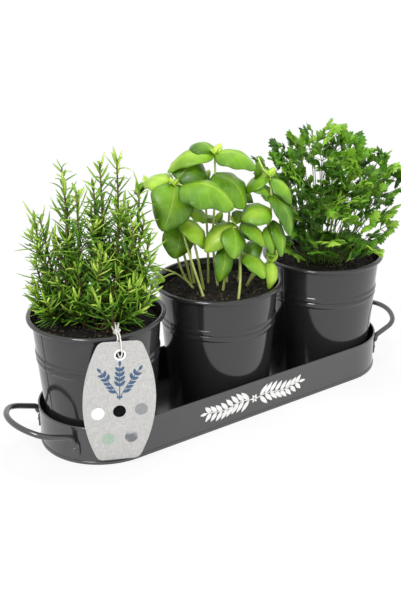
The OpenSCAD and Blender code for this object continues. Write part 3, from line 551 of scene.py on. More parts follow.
# Ornament on the tray's front
# A garland of laurel in white enamel, printed on the middle of the tray's front through a
# screen: a thin stem with leaves in pairs that point away from a small rosette.
def flat_leaf(x, z, turn, long, wide, points=12):
    """The outline of a pointed leaf, from its stalk."""
    out = []
    for k in range(points):
        t = k / (points / 2)
        along, side = (t, 1) if t <= 1 else (2 - t, -1)
        half = wide / 2 * math.sin(math.pi * along ** 0.85) ** 0.9 * side
        out.append((x + along * long * math.cos(turn) - half * math.sin(turn),
                    z + along * long * math.sin(turn) + half * math.cos(turn)))
    return out


def flat_strip(line, wide):
    """The outline of a narrow strip along a line."""
    left, right = [], []
    for i, (x, z) in enumerate(line):
        ax, az = line[max(i - 1, 0)]
        bx, bz = line[min(i + 1, len(line) - 1)]
        long = math.hypot(bx - ax, bz - az)
        nx, nz = -(bz - az) / long * wide / 2, (bx - ax) / long * wide / 2
        left.append((x + nx, z + nz))
        right.append((x - nx, z - nz))
    return left + right[::-1]


def print_on(name, outlines, thick, to_place):
    """Closed flat shapes of a print's thickness; to_place turns (x, z, depth) to a place."""
    points, faces = [], []
    for outline in outlines:
        n, start = len(outline), len(points)
        points += [to_place(x, z, 0) for x, z in outline] + [to_place(x, z, thick) for x, z in outline]
        faces.append(tuple(start + n + k for k in range(n)))
        faces.append(tuple(start + k for k in range(n))[::-1])
        faces += [(start + k, start + (k + 1) % n, start + n + (k + 1) % n, start + n + k) for k in range(n)]
    piece = from_faces(name, points, faces)
    face_outwards(piece)
    return piece


garland_z = 16.0
garland_half = 54
stem_start, stem_end = 4, 48
pair_pitch = 5.5
pair_turn = math.radians(48)
ink_t = 0.12


def stem_z(x):
    """The height of the garland's wavy stem."""
    return garland_z + 1.3 * math.sin((abs(x) - stem_start) / garland_half * 2 * math.pi * 1.5)


shapes = []
for side in (-1, 1):
    shapes.append(flat_strip([(side * x, stem_z(x)) for x in range(stem_start, stem_end + 1)], 0.8))
    for k in range(8):
        x = pair_pitch * (k + 1)
        long = 12.4 - 0.5 * k
        for up in (-1, 1):
            turn = pair_turn * up
            shapes.append(flat_leaf(side * x, stem_z(x), turn if side > 0 else math.pi - turn, long, 3.9))
    shapes.append(flat_leaf(side * stem_end, stem_z(stem_end), 0 if side > 0 else math.pi, 7, 2.8))
for a in round_a_circle(6):
    shapes.append(flat_leaf(0.6 * math.cos(a), garland_z + 0.6 * math.sin(a), a, 3.4, 1.8))
garland = print_on("tray_front_garland", shapes, ink_t,
                   lambda x, z, d: Vector((x, -tray_half_w + 0.03 - d, z)) * mm)
enamel = new_finish("screen_printed_white_enamel")
# Screen ink: flat white, half matt, with the print's fine tooth of 0.3 mm.
where = add(enamel, "TexCoord")
tooth = add(enamel, "TexNoise", {"Vector": where.outputs["Object"], "Scale": 3000, "Detail": 1})
tint = add(enamel, "ValToRGB", {"Fac": tooth.outputs["Fac"]}, stops=((0.3, "#dcdcda"), (0.7, "#eeeeec")))
body = add(enamel, "BsdfPrincipled", {"Base Color": tint.outputs["Color"], "Roughness": 0.45})
add(enamel, "OutputMaterial", {"Surface": body.outputs[0]})
paint(garland, enamel)
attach(garland, "tray")


# Hang tag
# A card of grey board, cut with bowed sides and round corners, and faced with pale paper that
# has a fine brushed texture. It hangs by its eyelet and leans a little.
card_t = 0.8
card_w, card_end_w, card_h, card_corner_r = 55, 31, 98, 6
card_top = rim_z - 2.9
card_z = card_top - card_h / 2
hole_r = 3.6
lean = math.radians(3)


def on_card(x, z, depth):
    """A place on the leaned card: along it and up, in millimetres, and out from its middle."""
    dz = z - eyelet_z
    return by_card((x * math.cos(lean) + dz * math.sin(lean), card_y + depth,
                    eyelet_z - x * math.sin(lean) + dz * math.cos(lean)))


def card_bend(x, z):
    """How far the card bows out at a place, in millimetres. It stays flat round its eyelet."""
    bend = 0.5 * (x / 27) ** 2 + 0.25 * math.sin((z - 20) / 26)
    return bend * min(1, max(0, (math.hypot(x, z - eyelet_z) - 5) / 12))


# The outline: a wide arc up each side, and a round corner that runs on from it.
bow = (card_w - card_end_w) / 2
side_r = (card_h * card_h / 4 + bow * bow) / (2 * bow)
side_x = card_w / 2 - side_r
sweep = math.asin((card_h / 2 - card_corner_r) / (side_r - card_corner_r))
upper = [(side_x + side_r * math.cos(sweep * k / 24), card_z + side_r * math.sin(sweep * k / 24))
         for k in range(25)]
corner_x = side_x + (side_r - card_corner_r) * math.cos(sweep)
corner_z = card_z + card_h / 2 - card_corner_r
for k in range(1, 9):
    a = sweep + (math.pi / 2 - sweep) * k / 8
    upper.append((corner_x + card_corner_r * math.cos(a), corner_z + card_corner_r * math.sin(a)))
right_edge = [(x, 2 * card_z - z) for x, z in upper[:0:-1]] + upper
outline = right_edge + [(-x, z) for x, z in right_edge[::-1]]
bpy.ops.object.select_all(action="DESELECT")
bpy.ops.mesh.primitive_circle_add(vertices=len(outline), radius=1)
card = bpy.context.object
card.name = "tag_card_board"
for v, (x, z) in zip(card.data.vertices, outline):
    v.co = (x, z, 0)
bpy.ops.object.mode_set(mode="EDIT")
bpy.ops.mesh.primitive_circle_add(vertices=len(outline), radius=hole_r, location=(0, eyelet_z, 0))
bpy.ops.object.mode_set(mode="OBJECT")
for v, (x, z) in zip(card.data.vertices[len(outline):], outline):
    spoke = Vector((x, z - eyelet_z)).normalized() * hole_r
    v.co = (spoke.x, spoke.y + eyelet_z, 0)
bpy.ops.object.mode_set(mode="EDIT")
bpy.ops.mesh.select_all(action="SELECT")
bpy.ops.mesh.bridge_edge_loops(number_cuts=10, interpolation="LINEAR")
bpy.ops.object.mode_set(mode="OBJECT")
for v in card.data.vertices:
    v.co = on_card(v.co.x, v.co.y, card_bend(v.co.x, v.co.y))
thicken(card, card_t * mm, 0)
soften(card, 0.15 * mm, 50)
face_outwards(card)
bpy.ops.object.shade_smooth_by_angle(angle=math.radians(35))
board = new_finish("pale_grey_faced_board")
# Faced board: matt, pale grey, with streaks 0.5 mm apart across the card, as on brushed paper.
where = add(board, "TexCoord")
across = add(board, "Mapping", {"Vector": where.outputs["Object"], "Scale": (300, 300, 2200)})
streak = add(board, "TexNoise", {"Vector": across.outputs["Vector"], "Scale": 1, "Detail": 2})
upright = add(board, "Mapping", {"Vector": where.outputs["Object"], "Scale": (1800, 1800, 260)})
weft = add(board, "TexNoise", {"Vector": upright.outputs["Vector"], "Scale": 1, "Detail": 2})
both = add(board, "Math", {0: streak.outputs["Fac"], 1: weft.outputs["Fac"]}, operation="ADD")
half = add(board, "Math", {0: both.outputs[0], 1: 0.5}, operation="MULTIPLY")
tint = add(board, "ValToRGB", {"Fac": half.outputs[0]}, stops=((0.38, "#a9a8a6"), (0.62, "#c2c1bf")))
bump = add(board, "Bump", {"Height": half.outputs[0], "Strength": 0.3, "Distance": 0.0001})
body = add(board, "BsdfPrincipled", {"Base Color": tint.outputs["Color"], "Roughness": 0.75,
           "Normal": bump.outputs["Normal"]})
add(board, "OutputMaterial", {"Surface": body.outputs[0]})
paint(card, board)
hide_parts("tag_card")
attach(card, "tag")


# The card's print
# A slate blue bunch of three leafy sprigs, and under it five round spots of paint finishes, the
# last one hot foil. All are printed on the front of the card.
card_ink_t = 0.06
sprig_foot = 57.5
spot_r = 4.9


def on_front(x, z, depth):
    """A place on the card's front, or a little proud of it."""
    return on_card(x, z, card_bend(x, z) + card_t / 2 + depth)


shapes = []
for side in (-1, 0, 1):
    tall = 23 if side else 27
    branch = [(side * 14 * t ** 1.25, sprig_foot + tall * t) for t in (k / 20 for k in range(21))]
    shapes.append(flat_strip(branch, 0.7))
    for k in range(5 if side else 8, 20, 3):
        (ax, az), (bx, bz) = branch[k - 1], branch[k + 1]
        along = math.atan2(bz - az, bx - ax)
        for tilt in (-1, 1):
            if k > 12 or side == 0 or tilt == -side:
                shapes.append(flat_leaf(branch[k][0], branch[k][1], along + tilt * math.radians(42),
                                        7.6 - 0.14 * k, 2.7))
    shapes.append(flat_leaf(branch[-1][0], branch[-1][1], along, 5, 2.2))
shapes.append(flat_strip([(-2.2, 59.6), (0, 59.2), (2.2, 59.6)], 1.3))
sprig = print_on("tag_card_sprig", shapes, card_ink_t, on_front)
ink = new_finish("slate_blue_print_ink")
# Offset ink on uncoated paper: matt, with a mottle of 0.7 mm where the paper shows through.
where = add(ink, "TexCoord")
mottle = add(ink, "TexNoise", {"Vector": where.outputs["Object"], "Scale": 1400, "Detail": 3})
tint = add(ink, "ValToRGB", {"Fac": mottle.outputs["Fac"]}, stops=((0.35, "#324b69"), (0.7, "#506a86")))
body = add(ink, "BsdfPrincipled", {"Base Color": tint.outputs["Color"], "Roughness": 0.7})
add(ink, "OutputMaterial", {"Surface": body.outputs[0]})
paint(sprig, ink)
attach(sprig, "tag")


def spot_finish(name, dark, light, metal, rough, scale):
    """A printed spot with a mottle of 1 mm, or a foiled one with soft streaks of 6 by 16 mm."""
    finish = new_finish(name)
    where = add(finish, "TexCoord")
    stretch = add(finish, "Mapping", {"Vector": where.outputs["Object"], "Scale": scale})
    mottle = add(finish, "TexNoise", {"Vector": stretch.outputs["Vector"], "Scale": 1, "Detail": 2})
    tint = add(finish, "ValToRGB", {"Fac": mottle.outputs["Fac"]}, stops=((0.4, dark), (0.6, light)))
    body = add(finish, "BsdfPrincipled", {"Base Color": tint.outputs["Color"], "Roughness": rough,
               "Metallic": metal, "Specular IOR Level": 0.12})
    add(finish, "OutputMaterial", {"Surface": body.outputs[0]})
    return finish


for name, x, z, dark, light, metal, rough, scale in (
        ("white", -16.2, 46.8, "#f4f4f2", "#fafaf8", 0, 0.5, (900, 900, 900)),
        ("black", 0, 47.6, "#030303", "#070708", 0, 0.6, (900, 900, 900)),
        ("grey", 16.5, 48.2, "#8a8b8d", "#949597", 0, 0.5, (900, 900, 900)),
        ("mint", -8.2, 24.8, "#96ab9a", "#a4b7a7", 0, 0.5, (900, 900, 900)),
        ("metal_foil", 9.2, 25.2, "#7d7f83", "#bcbdc1", 0.7, 0.35, (60, 60, 160))):
    round_spot = [(x + spot_r * math.cos(a), z + spot_r * math.sin(a)) for a in round_a_circle(40)]
    spot = print_on("tag_card_spot_" + name, [round_spot], card_ink_t, on_front)
    paint(spot, spot_finish(name + "_card_spot", dark, light, metal, rough, scale))
    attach(spot, "tag")


# Pots
# Each pot is a strip of thin steel rolled to a taper and lapped in a side seam, with two beaded
# ribs, and with its top edge curled outwards round itself. A base disc is seamed into it.
rim_r, curl_r = 54, 1.85
top_r, foot_r, foot_z = 50, 43, 0.8
sheet_t = 0.8
curl_x, curl_z = rim_r - curl_r, rim_z - curl_r
curl_hole_r = 1.13
flare_z = curl_z - 2.5
rib_z, rib_pitch = foot_z + 71.5, 5
rib_r, rib_proud, rib_sweep = 4.306, 0.8, math.radians(35.5)
seam_turn, seam_w, seam_proud = math.radians(184), 3, 0.4
seam_r = (foot_r + 51) / 2


def wall_r(z):
    """The outer radius of a pot's tapered wall."""
    return foot_r + (top_r - foot_r) * (z - foot_z) / (flare_z - foot_z)


outer = [(foot_r, foot_z), (wall_r(35), 35)]
for z in (rib_z, rib_z + rib_pitch):
    for k in range(0 if z == rib_z else 1, 9):
        a = rib_sweep * (k / 4 - 1)
        outer.append((wall_r(z) + rib_proud - rib_r + rib_r * math.cos(a), z + rib_r * math.sin(a)))
outer += [(wall_r(flare_z - 2), flare_z - 2), (wall_r(flare_z - 0.6), flare_z - 0.6),
          (top_r + 0.43, curl_z - 0.69)]
hollow = [(curl_x + curl_hole_r * math.cos(a), curl_z + curl_hole_r * math.sin(a))
          for a in (math.radians(202 - 334 * k / 14) for k in range(15))]
roll = [(curl_x + curl_r * math.cos(a), curl_z + curl_r * math.sin(a))
        for a in (math.radians(-132 + 296 * k / 24) for k in range(25))]
section = outer + hollow + roll + [(r - sheet_t, z) for r, z in outer[::-1]]
half = seam_w / 2
columns = [(x / seam_r, proud) for x, proud in (
    (-half - 0.25, 0), (-half, seam_proud), (0, seam_proud), (half, seam_proud), (half + 0.25, 0))]
columns += [(math.radians(3 * k), 0) for k in range(1, 120)]
points = []
for turn, proud in columns:
    a = seam_turn + turn
    for k, (r, z) in enumerate(section):
        r += proud if k < len(outer) - 1 else 0
        points.append((r * math.cos(a) * mm, r * math.sin(a) * mm, z * mm))
wide, tall = len(columns), len(section)
faces = [(i * tall + k, (i + 1) % wide * tall + k, (i + 1) % wide * tall + (k + 1) % tall,
          i * tall + (k + 1) % tall) for i in range(wide) for k in range(tall)]
pattern = from_faces("pot_wall_sheet", points, faces)
face_outwards(pattern)
bpy.ops.object.shade_smooth_by_angle(angle=math.radians(25))
# The pots get the darker tone of the tray's enamel: painted shade, for the shade that the plants cast on
# them.
pot_enamel = painted_steel("pot_charcoal_enamel", ("#252526", "#29292a"), 0.12, 0.75, 0.0)
paint(pattern, pot_enamel)
for side, pot_x in (("left", -pot_pitch), ("middle", 0), ("right", pot_pitch)):
    piece = bpy.data.objects.new("pot_%s_wall_sheet" % side, pattern.data.copy())
    piece.data.transform(Matrix.Translation((pot_x * mm, 0, 0)))
    scene.collection.objects.link(piece)
    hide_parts("pot_%s_wall" % side)
    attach(piece, "pot_%s" % side)
    paint(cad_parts["pot_%s_base" % side], charcoal_floor_painted_shade)
bpy.data.objects.remove(pattern)


# Soil
# Dark potting mix, slightly heaped in the middle: a lumpy top with loose crumbs and a few
# pale specks. Below the surface it fills its pot.
soil_z, soil_crown = 97.3, 1.5
soil_r = 48.3
soil_foot_r, soil_foot_z = 41.9, 3.1
crumb_count = 520
random.seed(11)
potting_mix = new_finish("moist_potting_mix")
# Peat and bark fines: nearly black and matt, with grey brown lumps of 2.4 mm and grains of 1 mm.
where = add(potting_mix, "TexCoord")
lumps = add(potting_mix, "TexNoise", {"Vector": where.outputs["Object"], "Scale": 420, "Detail": 5,
            "Roughness": 0.7})
grains = add(potting_mix, "TexVoronoi", {"Vector": where.outputs["Object"], "Scale": 900})
speck = add(potting_mix, "Attribute", attribute_name="tone")
tint = add(potting_mix, "ValToRGB", {"Fac": lumps.outputs["Fac"]},
           stops=((0.34, "#0a0908"), (0.53, "#191614"), (0.72, "#3c3631")))
pale = add(potting_mix, "Mix", {"Factor": speck.outputs["Fac"], 6: tint.outputs["Color"],
           7: linear("#8d7a63")}, data_type="RGBA")
bump = add(potting_mix, "Bump", {"Height": grains.outputs["Distance"], "Strength": 0.8, "Distance": 0.0006})
body = add(potting_mix, "BsdfPrincipled", {"Base Color": pale.outputs[2], "Roughness": 0.88,
           "Specular IOR Level": 0.3, "Normal": bump.outputs["Normal"]})
add(potting_mix, "OutputMaterial", {"Surface": body.outputs[0]})


def soil_height(x, y, seed):
    """The height of the soil's lumpy top, in millimetres above the edge."""
    r = min(1.0, math.hypot(x, y) / (soil_r + 0.1))
    heap = soil_crown * (1 - r * r)
    lump = noise.noise(Vector((x * 0.11, y * 0.11, seed))) * 1.3
    crumb = noise.noise(Vector((x * 0.42, y * 0.42, seed + 7))) * 0.8
    return heap + (lump + crumb) * (0.35 + 0.65 * (1 - r ** 4)) - 0.5


def as_pattern(shape):
    """A shape's points and faces, to be repeated many times. The shape itself is removed."""
    points = np.array([v.co for v in shape.data.vertices])
    faces = [tuple(f.vertices) for f in shape.data.polygons]
    bpy.data.objects.remove(shape)
    return points, faces


bpy.ops.object.select_all(action="DESELECT")
bpy.ops.mesh.primitive_ico_sphere_add(subdivisions=1, radius=1)
crumb_points, crumb_faces = as_pattern(bpy.context.object)


def with_tone(mesh, tones):
    """Gives each point of a mesh its own lightness, which the finish reads."""
    mesh.attributes.new("tone", "FLOAT", "POINT").data.foreach_set("value", tones)


def soil(side, pot_x, seed):
    """The soil of one pot: a lumpy top on a tapered body, with loose crumbs."""
    bpy.ops.object.select_all(action="DESELECT")
    bpy.ops.mesh.primitive_grid_add(x_subdivisions=72, y_subdivisions=72, size=2)
    top = bpy.context.object
    for v in top.data.vertices:
        x, y = v.co.x, v.co.y
        disc_x, disc_y = x * math.sqrt(1 - y * y / 2), y * math.sqrt(1 - x * x / 2)
        x, y = disc_x * soil_r, disc_y * soil_r
        v.co = Vector((pot_x + x, y, soil_z + soil_height(x, y, seed))) * mm
    bpy.ops.object.mode_set(mode="EDIT")
    bpy.ops.mesh.select_all(action="SELECT")
    bpy.ops.mesh.region_to_loop()
    bpy.ops.mesh.extrude_region_move()
    bpy.ops.object.mode_set(mode="OBJECT")
    for v in top.data.vertices:
        if v.select:
            x, y = v.co.x / mm - pot_x, v.co.y / mm
            r = soil_foot_r / math.hypot(x, y)
            v.co = Vector((pot_x + x * r, y * r, soil_foot_z)) * mm
    bpy.ops.object.mode_set(mode="EDIT")
    bpy.ops.mesh.edge_face_add()
    bpy.ops.object.mode_set(mode="OBJECT")
    face_outwards(top)
    bpy.ops.object.shade_smooth()
    with_tone(top.data, [0.0] * len(top.data.vertices))

    points, faces, tones = [], [], []
    for k in range(crumb_count):
        a = random.uniform(0, 2 * math.pi)
        r = (soil_r - 1.1) * math.sqrt(random.random())
        x, y = r * math.cos(a), r * math.sin(a)
        size = random.choice((0.5, 0.6, 0.7, 0.9, 1.2, 1.6))
        spin = Matrix.Rotation(random.uniform(0, 6.28), 3, "Z")
        spin = spin @ Matrix.Rotation(random.uniform(0, 3.14), 3, "X")
        stretch = [random.uniform(0.7, 1.5), random.uniform(0.6, 1.1), random.uniform(0.5, 0.9)]
        if r + size * 1.5 > soil_r - 0.4:
            continue
        middle = np.array([pot_x + x, y, soil_z + soil_height(x, y, seed) + size * 0.25])
        rough = crumb_points * (1 + np.array([[random.uniform(-0.2, 0.2)] for _ in crumb_points]))
        start = len(points)
        points += list(((rough * np.array(stretch) * size) @ np.array(spin).T + middle) * mm)
        faces += [tuple(start + i for i in f) for f in crumb_faces]
        tones += [random.choice((0, 0, 0.06, 0.16, 0.35, 0.9 if size < 0.8 else 0.16))] * len(crumb_points)
    crumbs = from_faces("crumbs", points, faces)
    with_tone(crumbs.data, tones)
    piece = join([top, crumbs], "pot_%s_potting_mix" % side)
    paint(piece, potting_mix)
    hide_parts("pot_%s_soil" % side)
    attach(piece, "pot_%s" % side)


soil("left", -pot_pitch, 1.5)
soil("middle", 0, 4.5)
soil("right", pot_pitch, 8.5)


# Rosemary
# Woody brown stems with narrow, arching needles in pairs, dark green and paler when young. The
# bush stands 141 mm above the soil and leans out over the left side of its pot.
soil_level = soil_z + soil_crown - 2
leaf_reach = 56.8
row_half = 196
plant_turn = math.radians(-34)


def in_pot(p, pot_x):
    """A place given as right, towards the viewer and up, turned to the room, in millimetres."""
    c, s = math.cos(plant_turn), math.sin(plant_turn)
    return Vector((pot_x + p[0] * c + p[1] * s, p[0] * s - p[1] * c, p[2] + soil_level))


def drawn_in(values, limit, side):
    """Bends what comes within 4 mm of a limit, or passes it, smoothly back to its near side."""
    room = 4
    past = np.maximum(0, (values - limit) * side + room)
    return np.where(past > 0, limit - side * room * np.exp(-past / room), values)


def kept(points, pot_x, left, right):
    """Keeps a plant's points on their own side of the planes between the pots, and in the part's box."""
    points = np.array(points)
    low = pot_x - leaf_reach if left else -row_half
    high = pot_x + leaf_reach if right else row_half
    points[:, 0] = drawn_in(drawn_in(points[:, 0], low, -1), high, 1)
    points[:, 1] = np.clip(points[:, 1], cad_box[0][1] / mm + 0.5, cad_box[1][1] / mm - 0.5)
    points[:, 2] = np.minimum(points[:, 2], cad_box[1][2] / mm - 0.2)
    return points


def plant_piece(name, points, faces, tones, smooth_shade=True, uvs=None):
    """A piece from a plant's lists, in millimetres."""
    piece = from_faces(name, [tuple(p) for p in np.array(points) * mm], faces)
    mesh = piece.data
    mesh.polygons.foreach_set("use_smooth", [smooth_shade] * len(faces))
    with_tone(mesh, tones)
    if uvs is not None:
        layer = mesh.uv_layers.new(name="UVMap")
        loops = np.zeros(len(mesh.loops), dtype=int)
        mesh.loops.foreach_get("vertex_index", loops)
        layer.data.foreach_set("uv", np.array(uvs)[loops].ravel())
    return piece


# Tones run from 0, dark, to 1, light. This one marks bark and stalks for the finish.
bark = -1


def stem_mesh(points, faces, tones, path, thick, thin, sides, tone=bark):
    """Adds one closed round stem along a path to a plant's lists."""
    path = [Vector(p) for p in path]
    start = len(points)
    for i, (p, (u, v)) in enumerate(zip(path, frames(path))):
        r = thick + (thin - thick) * i / (len(path) - 1)
        points += [tuple(p + (u * math.cos(a) + v * math.sin(a)) * r) for a in round_a_circle(sides)]
        tones += [tone] * sides
    for i in range(len(path) - 1):
        for k in range(sides):
            a, b = start + i * sides + k, start + i * sides + (k + 1) % sides
            faces.append((a, b, b + sides, a + sides))
    faces.append(tuple(start + k for k in range(sides))[::-1])
    last_ring = start + (len(path) - 1) * sides
    faces.append(tuple(last_ring + k for k in range(sides)))


def bent(a, b, c, t):
    """A point on the curve from a to c that b pulls out."""
    return (1 - t) * (1 - t) * a + 2 * t * (1 - t) * b + t * t * c


def swayed(path):
    """The path with a small random S-bend in it."""
    sway = astray(1) * 1.4
    return [p + sway * math.sin(k / (len(path) - 1) * math.pi * 2) for k, p in enumerate(path)]


# One needle: a square ring drawn out along its length and narrowed to a blunt point.
bpy.ops.object.select_all(action="DESELECT")
bpy.ops.mesh.primitive_circle_add(vertices=4, radius=0.55, fill_type="NGON")
needle_shape = bpy.context.object
bpy.ops.object.mode_set(mode="EDIT")
bpy.ops.mesh.select_all(action="SELECT")
for grow in (1.7, 1.06, 0.85, 0.3):
    bpy.ops.mesh.extrude_region_move(TRANSFORM_OT_translate={"value": (0, 0, 0.25)})
    bpy.ops.transform.resize(value=(grow, grow, 1))
bpy.ops.object.mode_set(mode="OBJECT")
face_outwards(needle_shape)
needle_points, needle_faces = as_pattern(needle_shape)

# Where the stems stand, the last being the one that the string is tied to; then each sprig's
# stem, and where its tip is: right, towards the viewer and up.
rosemary_bases = [(-20, 2, 0), (-7, 8, 0), (3, -9, 0), (15, 2, 0), (5, 14, 0), (15.5, 27.1, 0)]
rosemary_sprigs = [
    (0, -19, 0, 135), (1, -8, 10, 118), (2, 2, -10, 118), (2, 9, 0, 137), (3, 22, 4, 141),
    (0, -45, -8, 95), (0, -38, 4, 97), (1, -28, 10, 84), (0, -22, -15, 80), (3, 38, 0, 121),
    (3, 28, -12, 103), (3, 33, 12, 92), (3, 41, -2, 92), (3, 45, 6, 78), (3, 46, 14, 64),
    (0, -46, -2, 58), (0, -48, 4, 44), (0, -46, 12, 38), (0, -47, 10, 26), (0, -42, 18, 22),
    (3, 48, 12, 42), (4, 46, 20, 32), (4, 40, 25, 25), (4, 33, 23, 23), (5, 15, 30, 36),
    (1, -6, 20, 26), (1, -21, 18, 25), (0, -34, 16, 23), (1, -10, 20, 64), (4, 8, 22, 78),
    (4, 22, 20, 58), (1, -28, 18, 50), (2, 0, -28, 96), (2, -20, -28, 78), (2, 22, -28, 88),
    (4, -4, 22, 40), (4, 34, 22, 48), (2, 10, -38, 46), (2, -30, -30, 40), (2, 36, -30, 48)]
random.seed(21)
points, faces, tones = [], [], []


def needles_along(path, gap, long, wide, young):
    """Pairs of needles up a stem, each pair turned from the last; the topmost stand in a tuft."""
    path = even(path, gap)
    turn = random.uniform(0, math.pi)
    sides = frames(path)
    for i in range(1, len(path)):
        u, v = sides[i]
        ahead = (path[i] - path[i - 1]).normalized()
        share = i / (len(path) - 1)
        turn += math.radians(78) + random.uniform(-0.2, 0.2)
        for k in (0, 1):
            spin = turn + math.pi * k + random.uniform(-0.25, 0.25)
            out = u * math.cos(spin) + v * math.sin(spin)
            open_angle = math.radians(random.uniform(36, 84)) * (1 - 0.38 * share ** 4)
            length = long * random.uniform(0.65, 1.2) * (1 - 0.5 * share ** 4) * min(1, 0.6 + share * 2)
            along = (out * math.sin(open_angle) + ahead * math.cos(open_angle)).normalized()
            side = along.cross(out if abs(along.dot(out)) < 0.95 else ahead).normalized()
            face = side.cross(along)
            # A needle first goes out, then bends up or droops a little
            sag = random.uniform(-0.6, 0.36) if long > 17 else random.uniform(-0.15, 0.4)
            bend = (ahead * 0.6 + Vector((0, 0, 0.7))).normalized() * sag
            root = np.array(path[i])
            t = needle_points[:, 2:3]
            shaped = (root + t * length * np.array(along) + t * t * length * np.array(bend)
                      + needle_points[:, 0:1] * wide * np.array(side)
                      + needle_points[:, 1:2] * wide * 0.42 * np.array(face))
            start = len(points)
            points.extend(map(tuple, shaped))
            faces.extend(tuple(start + n for n in f) for f in needle_faces)
            tone = young * share ** 3 + random.choice((0.0, 0.05, 0.1, 0.2, 0.4))
            # Painted highlight: each needle's tone rises towards its tip. Its base stays darker, as painted
            # shade by the stem.
            tones.extend((min(1, tone + 0.18 * q) for q in needle_points[:, 2]))


golden_turn = math.radians(137.5)
root_spread = 2.1
needle_room = 4
tuft_l = 9
for n, (base, right, near, high) in enumerate(rosemary_sprigs):
    spread = 0 if base == 5 else root_spread
    foot = in_pot(rosemary_bases[base], -pot_pitch) + spread * Vector(
        (math.cos(golden_turn * n), math.sin(golden_turn * n), 0))
    tip = in_pot((right, near, high), -pot_pitch)
    tip.x = min(tip.x, -pot_pitch + leaf_reach - needle_room)
    knee = Vector((foot.x + (tip.x - foot.x) * 0.72, foot.y + (tip.y - foot.y) * 0.72,
                   foot.z + 3 + (tip.z - foot.z) * 0.3))
    # The stem ends below its topmost tuft of needles
    reach = 1 - tuft_l / (tip - foot).length
    path = swayed([bent(foot, knee, tip, reach * k / 12) for k in range(13)])
    stem_mesh(points, faces, tones, path, thick=1.15, thin=0.6, sides=6)
    needles_along(path[2:], gap=3.5, long=20 if high > 45 else 15, wide=1.2, young=0.42)
    # Side shoots: two on a long sprig, one on a short one
    for k in range(2 if (tip - foot).length > 70 else 1):
        at = random.choice((4, 5, 6, 7, 8))
        out = Vector((random.uniform(-1, 1), random.uniform(-1, 1), 0.9)).normalized()
        start = path[at]
        shoot = [start, start + out * 7 + Vector((0, 0, 2)), start + out * 15 + Vector((0, 0, 8))]
        shoot = smooth(shoot, 4)
        stem_mesh(points, faces, tones, shoot, thick=0.6, thin=0.35, sides=5)
        needles_along(shoot, gap=3.2, long=15.5, wide=1.15, young=0.62)
points = kept(points, -pot_pitch, False, True)
rosemary = plant_piece("rosemary_bush", points, faces, tones)
needle_finish = new_finish("rosemary_needle_and_bark")
# Needles: leathery, half gloss, dark below and yellow green when young, in patches of 6 mm, each
# needle painted paler towards its tip as a painted highlight. Bark is dull brown.
where = add(needle_finish, "TexCoord")
age = add(needle_finish, "Attribute", attribute_name="tone")
mottle = add(needle_finish, "TexNoise", {"Vector": where.outputs["Object"], "Scale": 160, "Detail": 3})
shift = add(needle_finish, "Math", {0: mottle.outputs["Fac"], 1: 0.35, 2: -0.17}, operation="MULTIPLY_ADD")
mixed_age = add(needle_finish, "Math", {0: age.outputs["Fac"], 1: shift.outputs[0]}, operation="ADD")
green = add(needle_finish, "ValToRGB", {"Fac": mixed_age.outputs[0]},
            stops=((0.0, "#27460a"), (0.28, "#4d7d18"), (0.58, "#83b02d"), (0.95, "#c6dd62")))
bark_tint = add(needle_finish, "ValToRGB", {"Fac": mottle.outputs["Fac"]},
                stops=((0.35, "#4e3a24"), (0.7, "#7d6a42")))
is_bark = add(needle_finish, "Math", {0: age.outputs["Fac"], 1: -0.5}, operation="LESS_THAN")
tint = add(needle_finish, "Mix", {"Factor": is_bark.outputs[0], 6: green.outputs["Color"],
           7: bark_tint.outputs["Color"]}, data_type="RGBA")
body = add(needle_finish, "BsdfPrincipled", {"Base Color": tint.outputs[2], "Roughness": 0.5,
           "Specular IOR Level": 0.45})
add(needle_finish, "OutputMaterial", {"Surface": body.outputs[0]})
paint(rosemary, needle_finish)
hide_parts("rosemary_plant")
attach(rosemary, "pot_left")


# Basil
# Pale juicy stems with broad, glossy, cupped leaves in pairs; the blade bulges between its
# veins and bends down towards the tip. Tiny new leaves stand at each stem's top.
# Each leaf: the end of its stalk, its tip, and its width. Each stem or stalk: where it passes.
basil_leaves = [
    ((-2, 0, 111), (-40, -2, 97), 19), ((-2, 0, 111.5), (-21, -15, 114), 20),
    ((-2, 0, 111.5), (31, 4, 100), 24), ((-2, 2, 97), (21, 13, 71), 31),
    ((-28, 13, 91), (12, 29, 76), 39), ((-32, 7, 94), (-12, -8, 102), 27),
    ((-38, 6, 92), (-59, -3, 89), 27), ((-34, 13, 91), (-45, 27, 58), 29),
    ((-54, -6, 88), (-66, -15, 76), 16), ((42.8, 3.2, 80.5), (27, 5, 83), 10),
    ((42.8, 3.2, 80), (58, 15, 49), 17), ((42, 9, 70), (18, 17, 64), 24),
    ((42, -0.9, 91.3), (60, 0, 70), 18), ((45, 7, 60), (51, 17, 33), 14),
    ((45, -1, 73), (52, -8, 50), 17), ((42, -0.9, 93.3), (22, -7, 79), 20),
    ((33, -7, 103), (31, -10, 86), 12), ((13, 11, 59), (-11, 23, 40), 19),
    ((12, 15, 57), (12, 29, 36), 20), ((19, 11, 60), (37, 21, 43), 18),
    ((15, 6, 61), (24, -8, 61), 14), ((22, 13, 35), (37, 27, 19), 19),
    ((21, 8, 34), (36, 6, 40), 18), ((41, 9, 56), (43, 19, 36), 14),
    ((41, 11, 38), (47, 15, 33), 10), ((43, 12, 28), (41, 19, 7), 10),
    ((5, 15, 41), (0, 25, 16), 14), ((-31, 1, 54), (-36, 8, 30), 24),
    ((-29, 6, 62), (-10, 14, 40), 22), ((-26, -5, 69), (-8, -9, 55), 22),
    ((10, -15, 82), (28, -36, 66), 27), ((-10, -16, 88), (-28, -38, 74), 27),
    ((0, -20, 52), (-4, -46, 42), 25), ((20, -20, 42), (38, -34, 32), 21),
    ((-24, -16, 42), (-40, -30, 30), 20), ((-50, 0, 19), (-58, -1, 20), 7),
    ((-49, 0, 19), (-53, 8, 20), 6), ((-45, 4, 12.5), (-51, 8, 11), 7)]
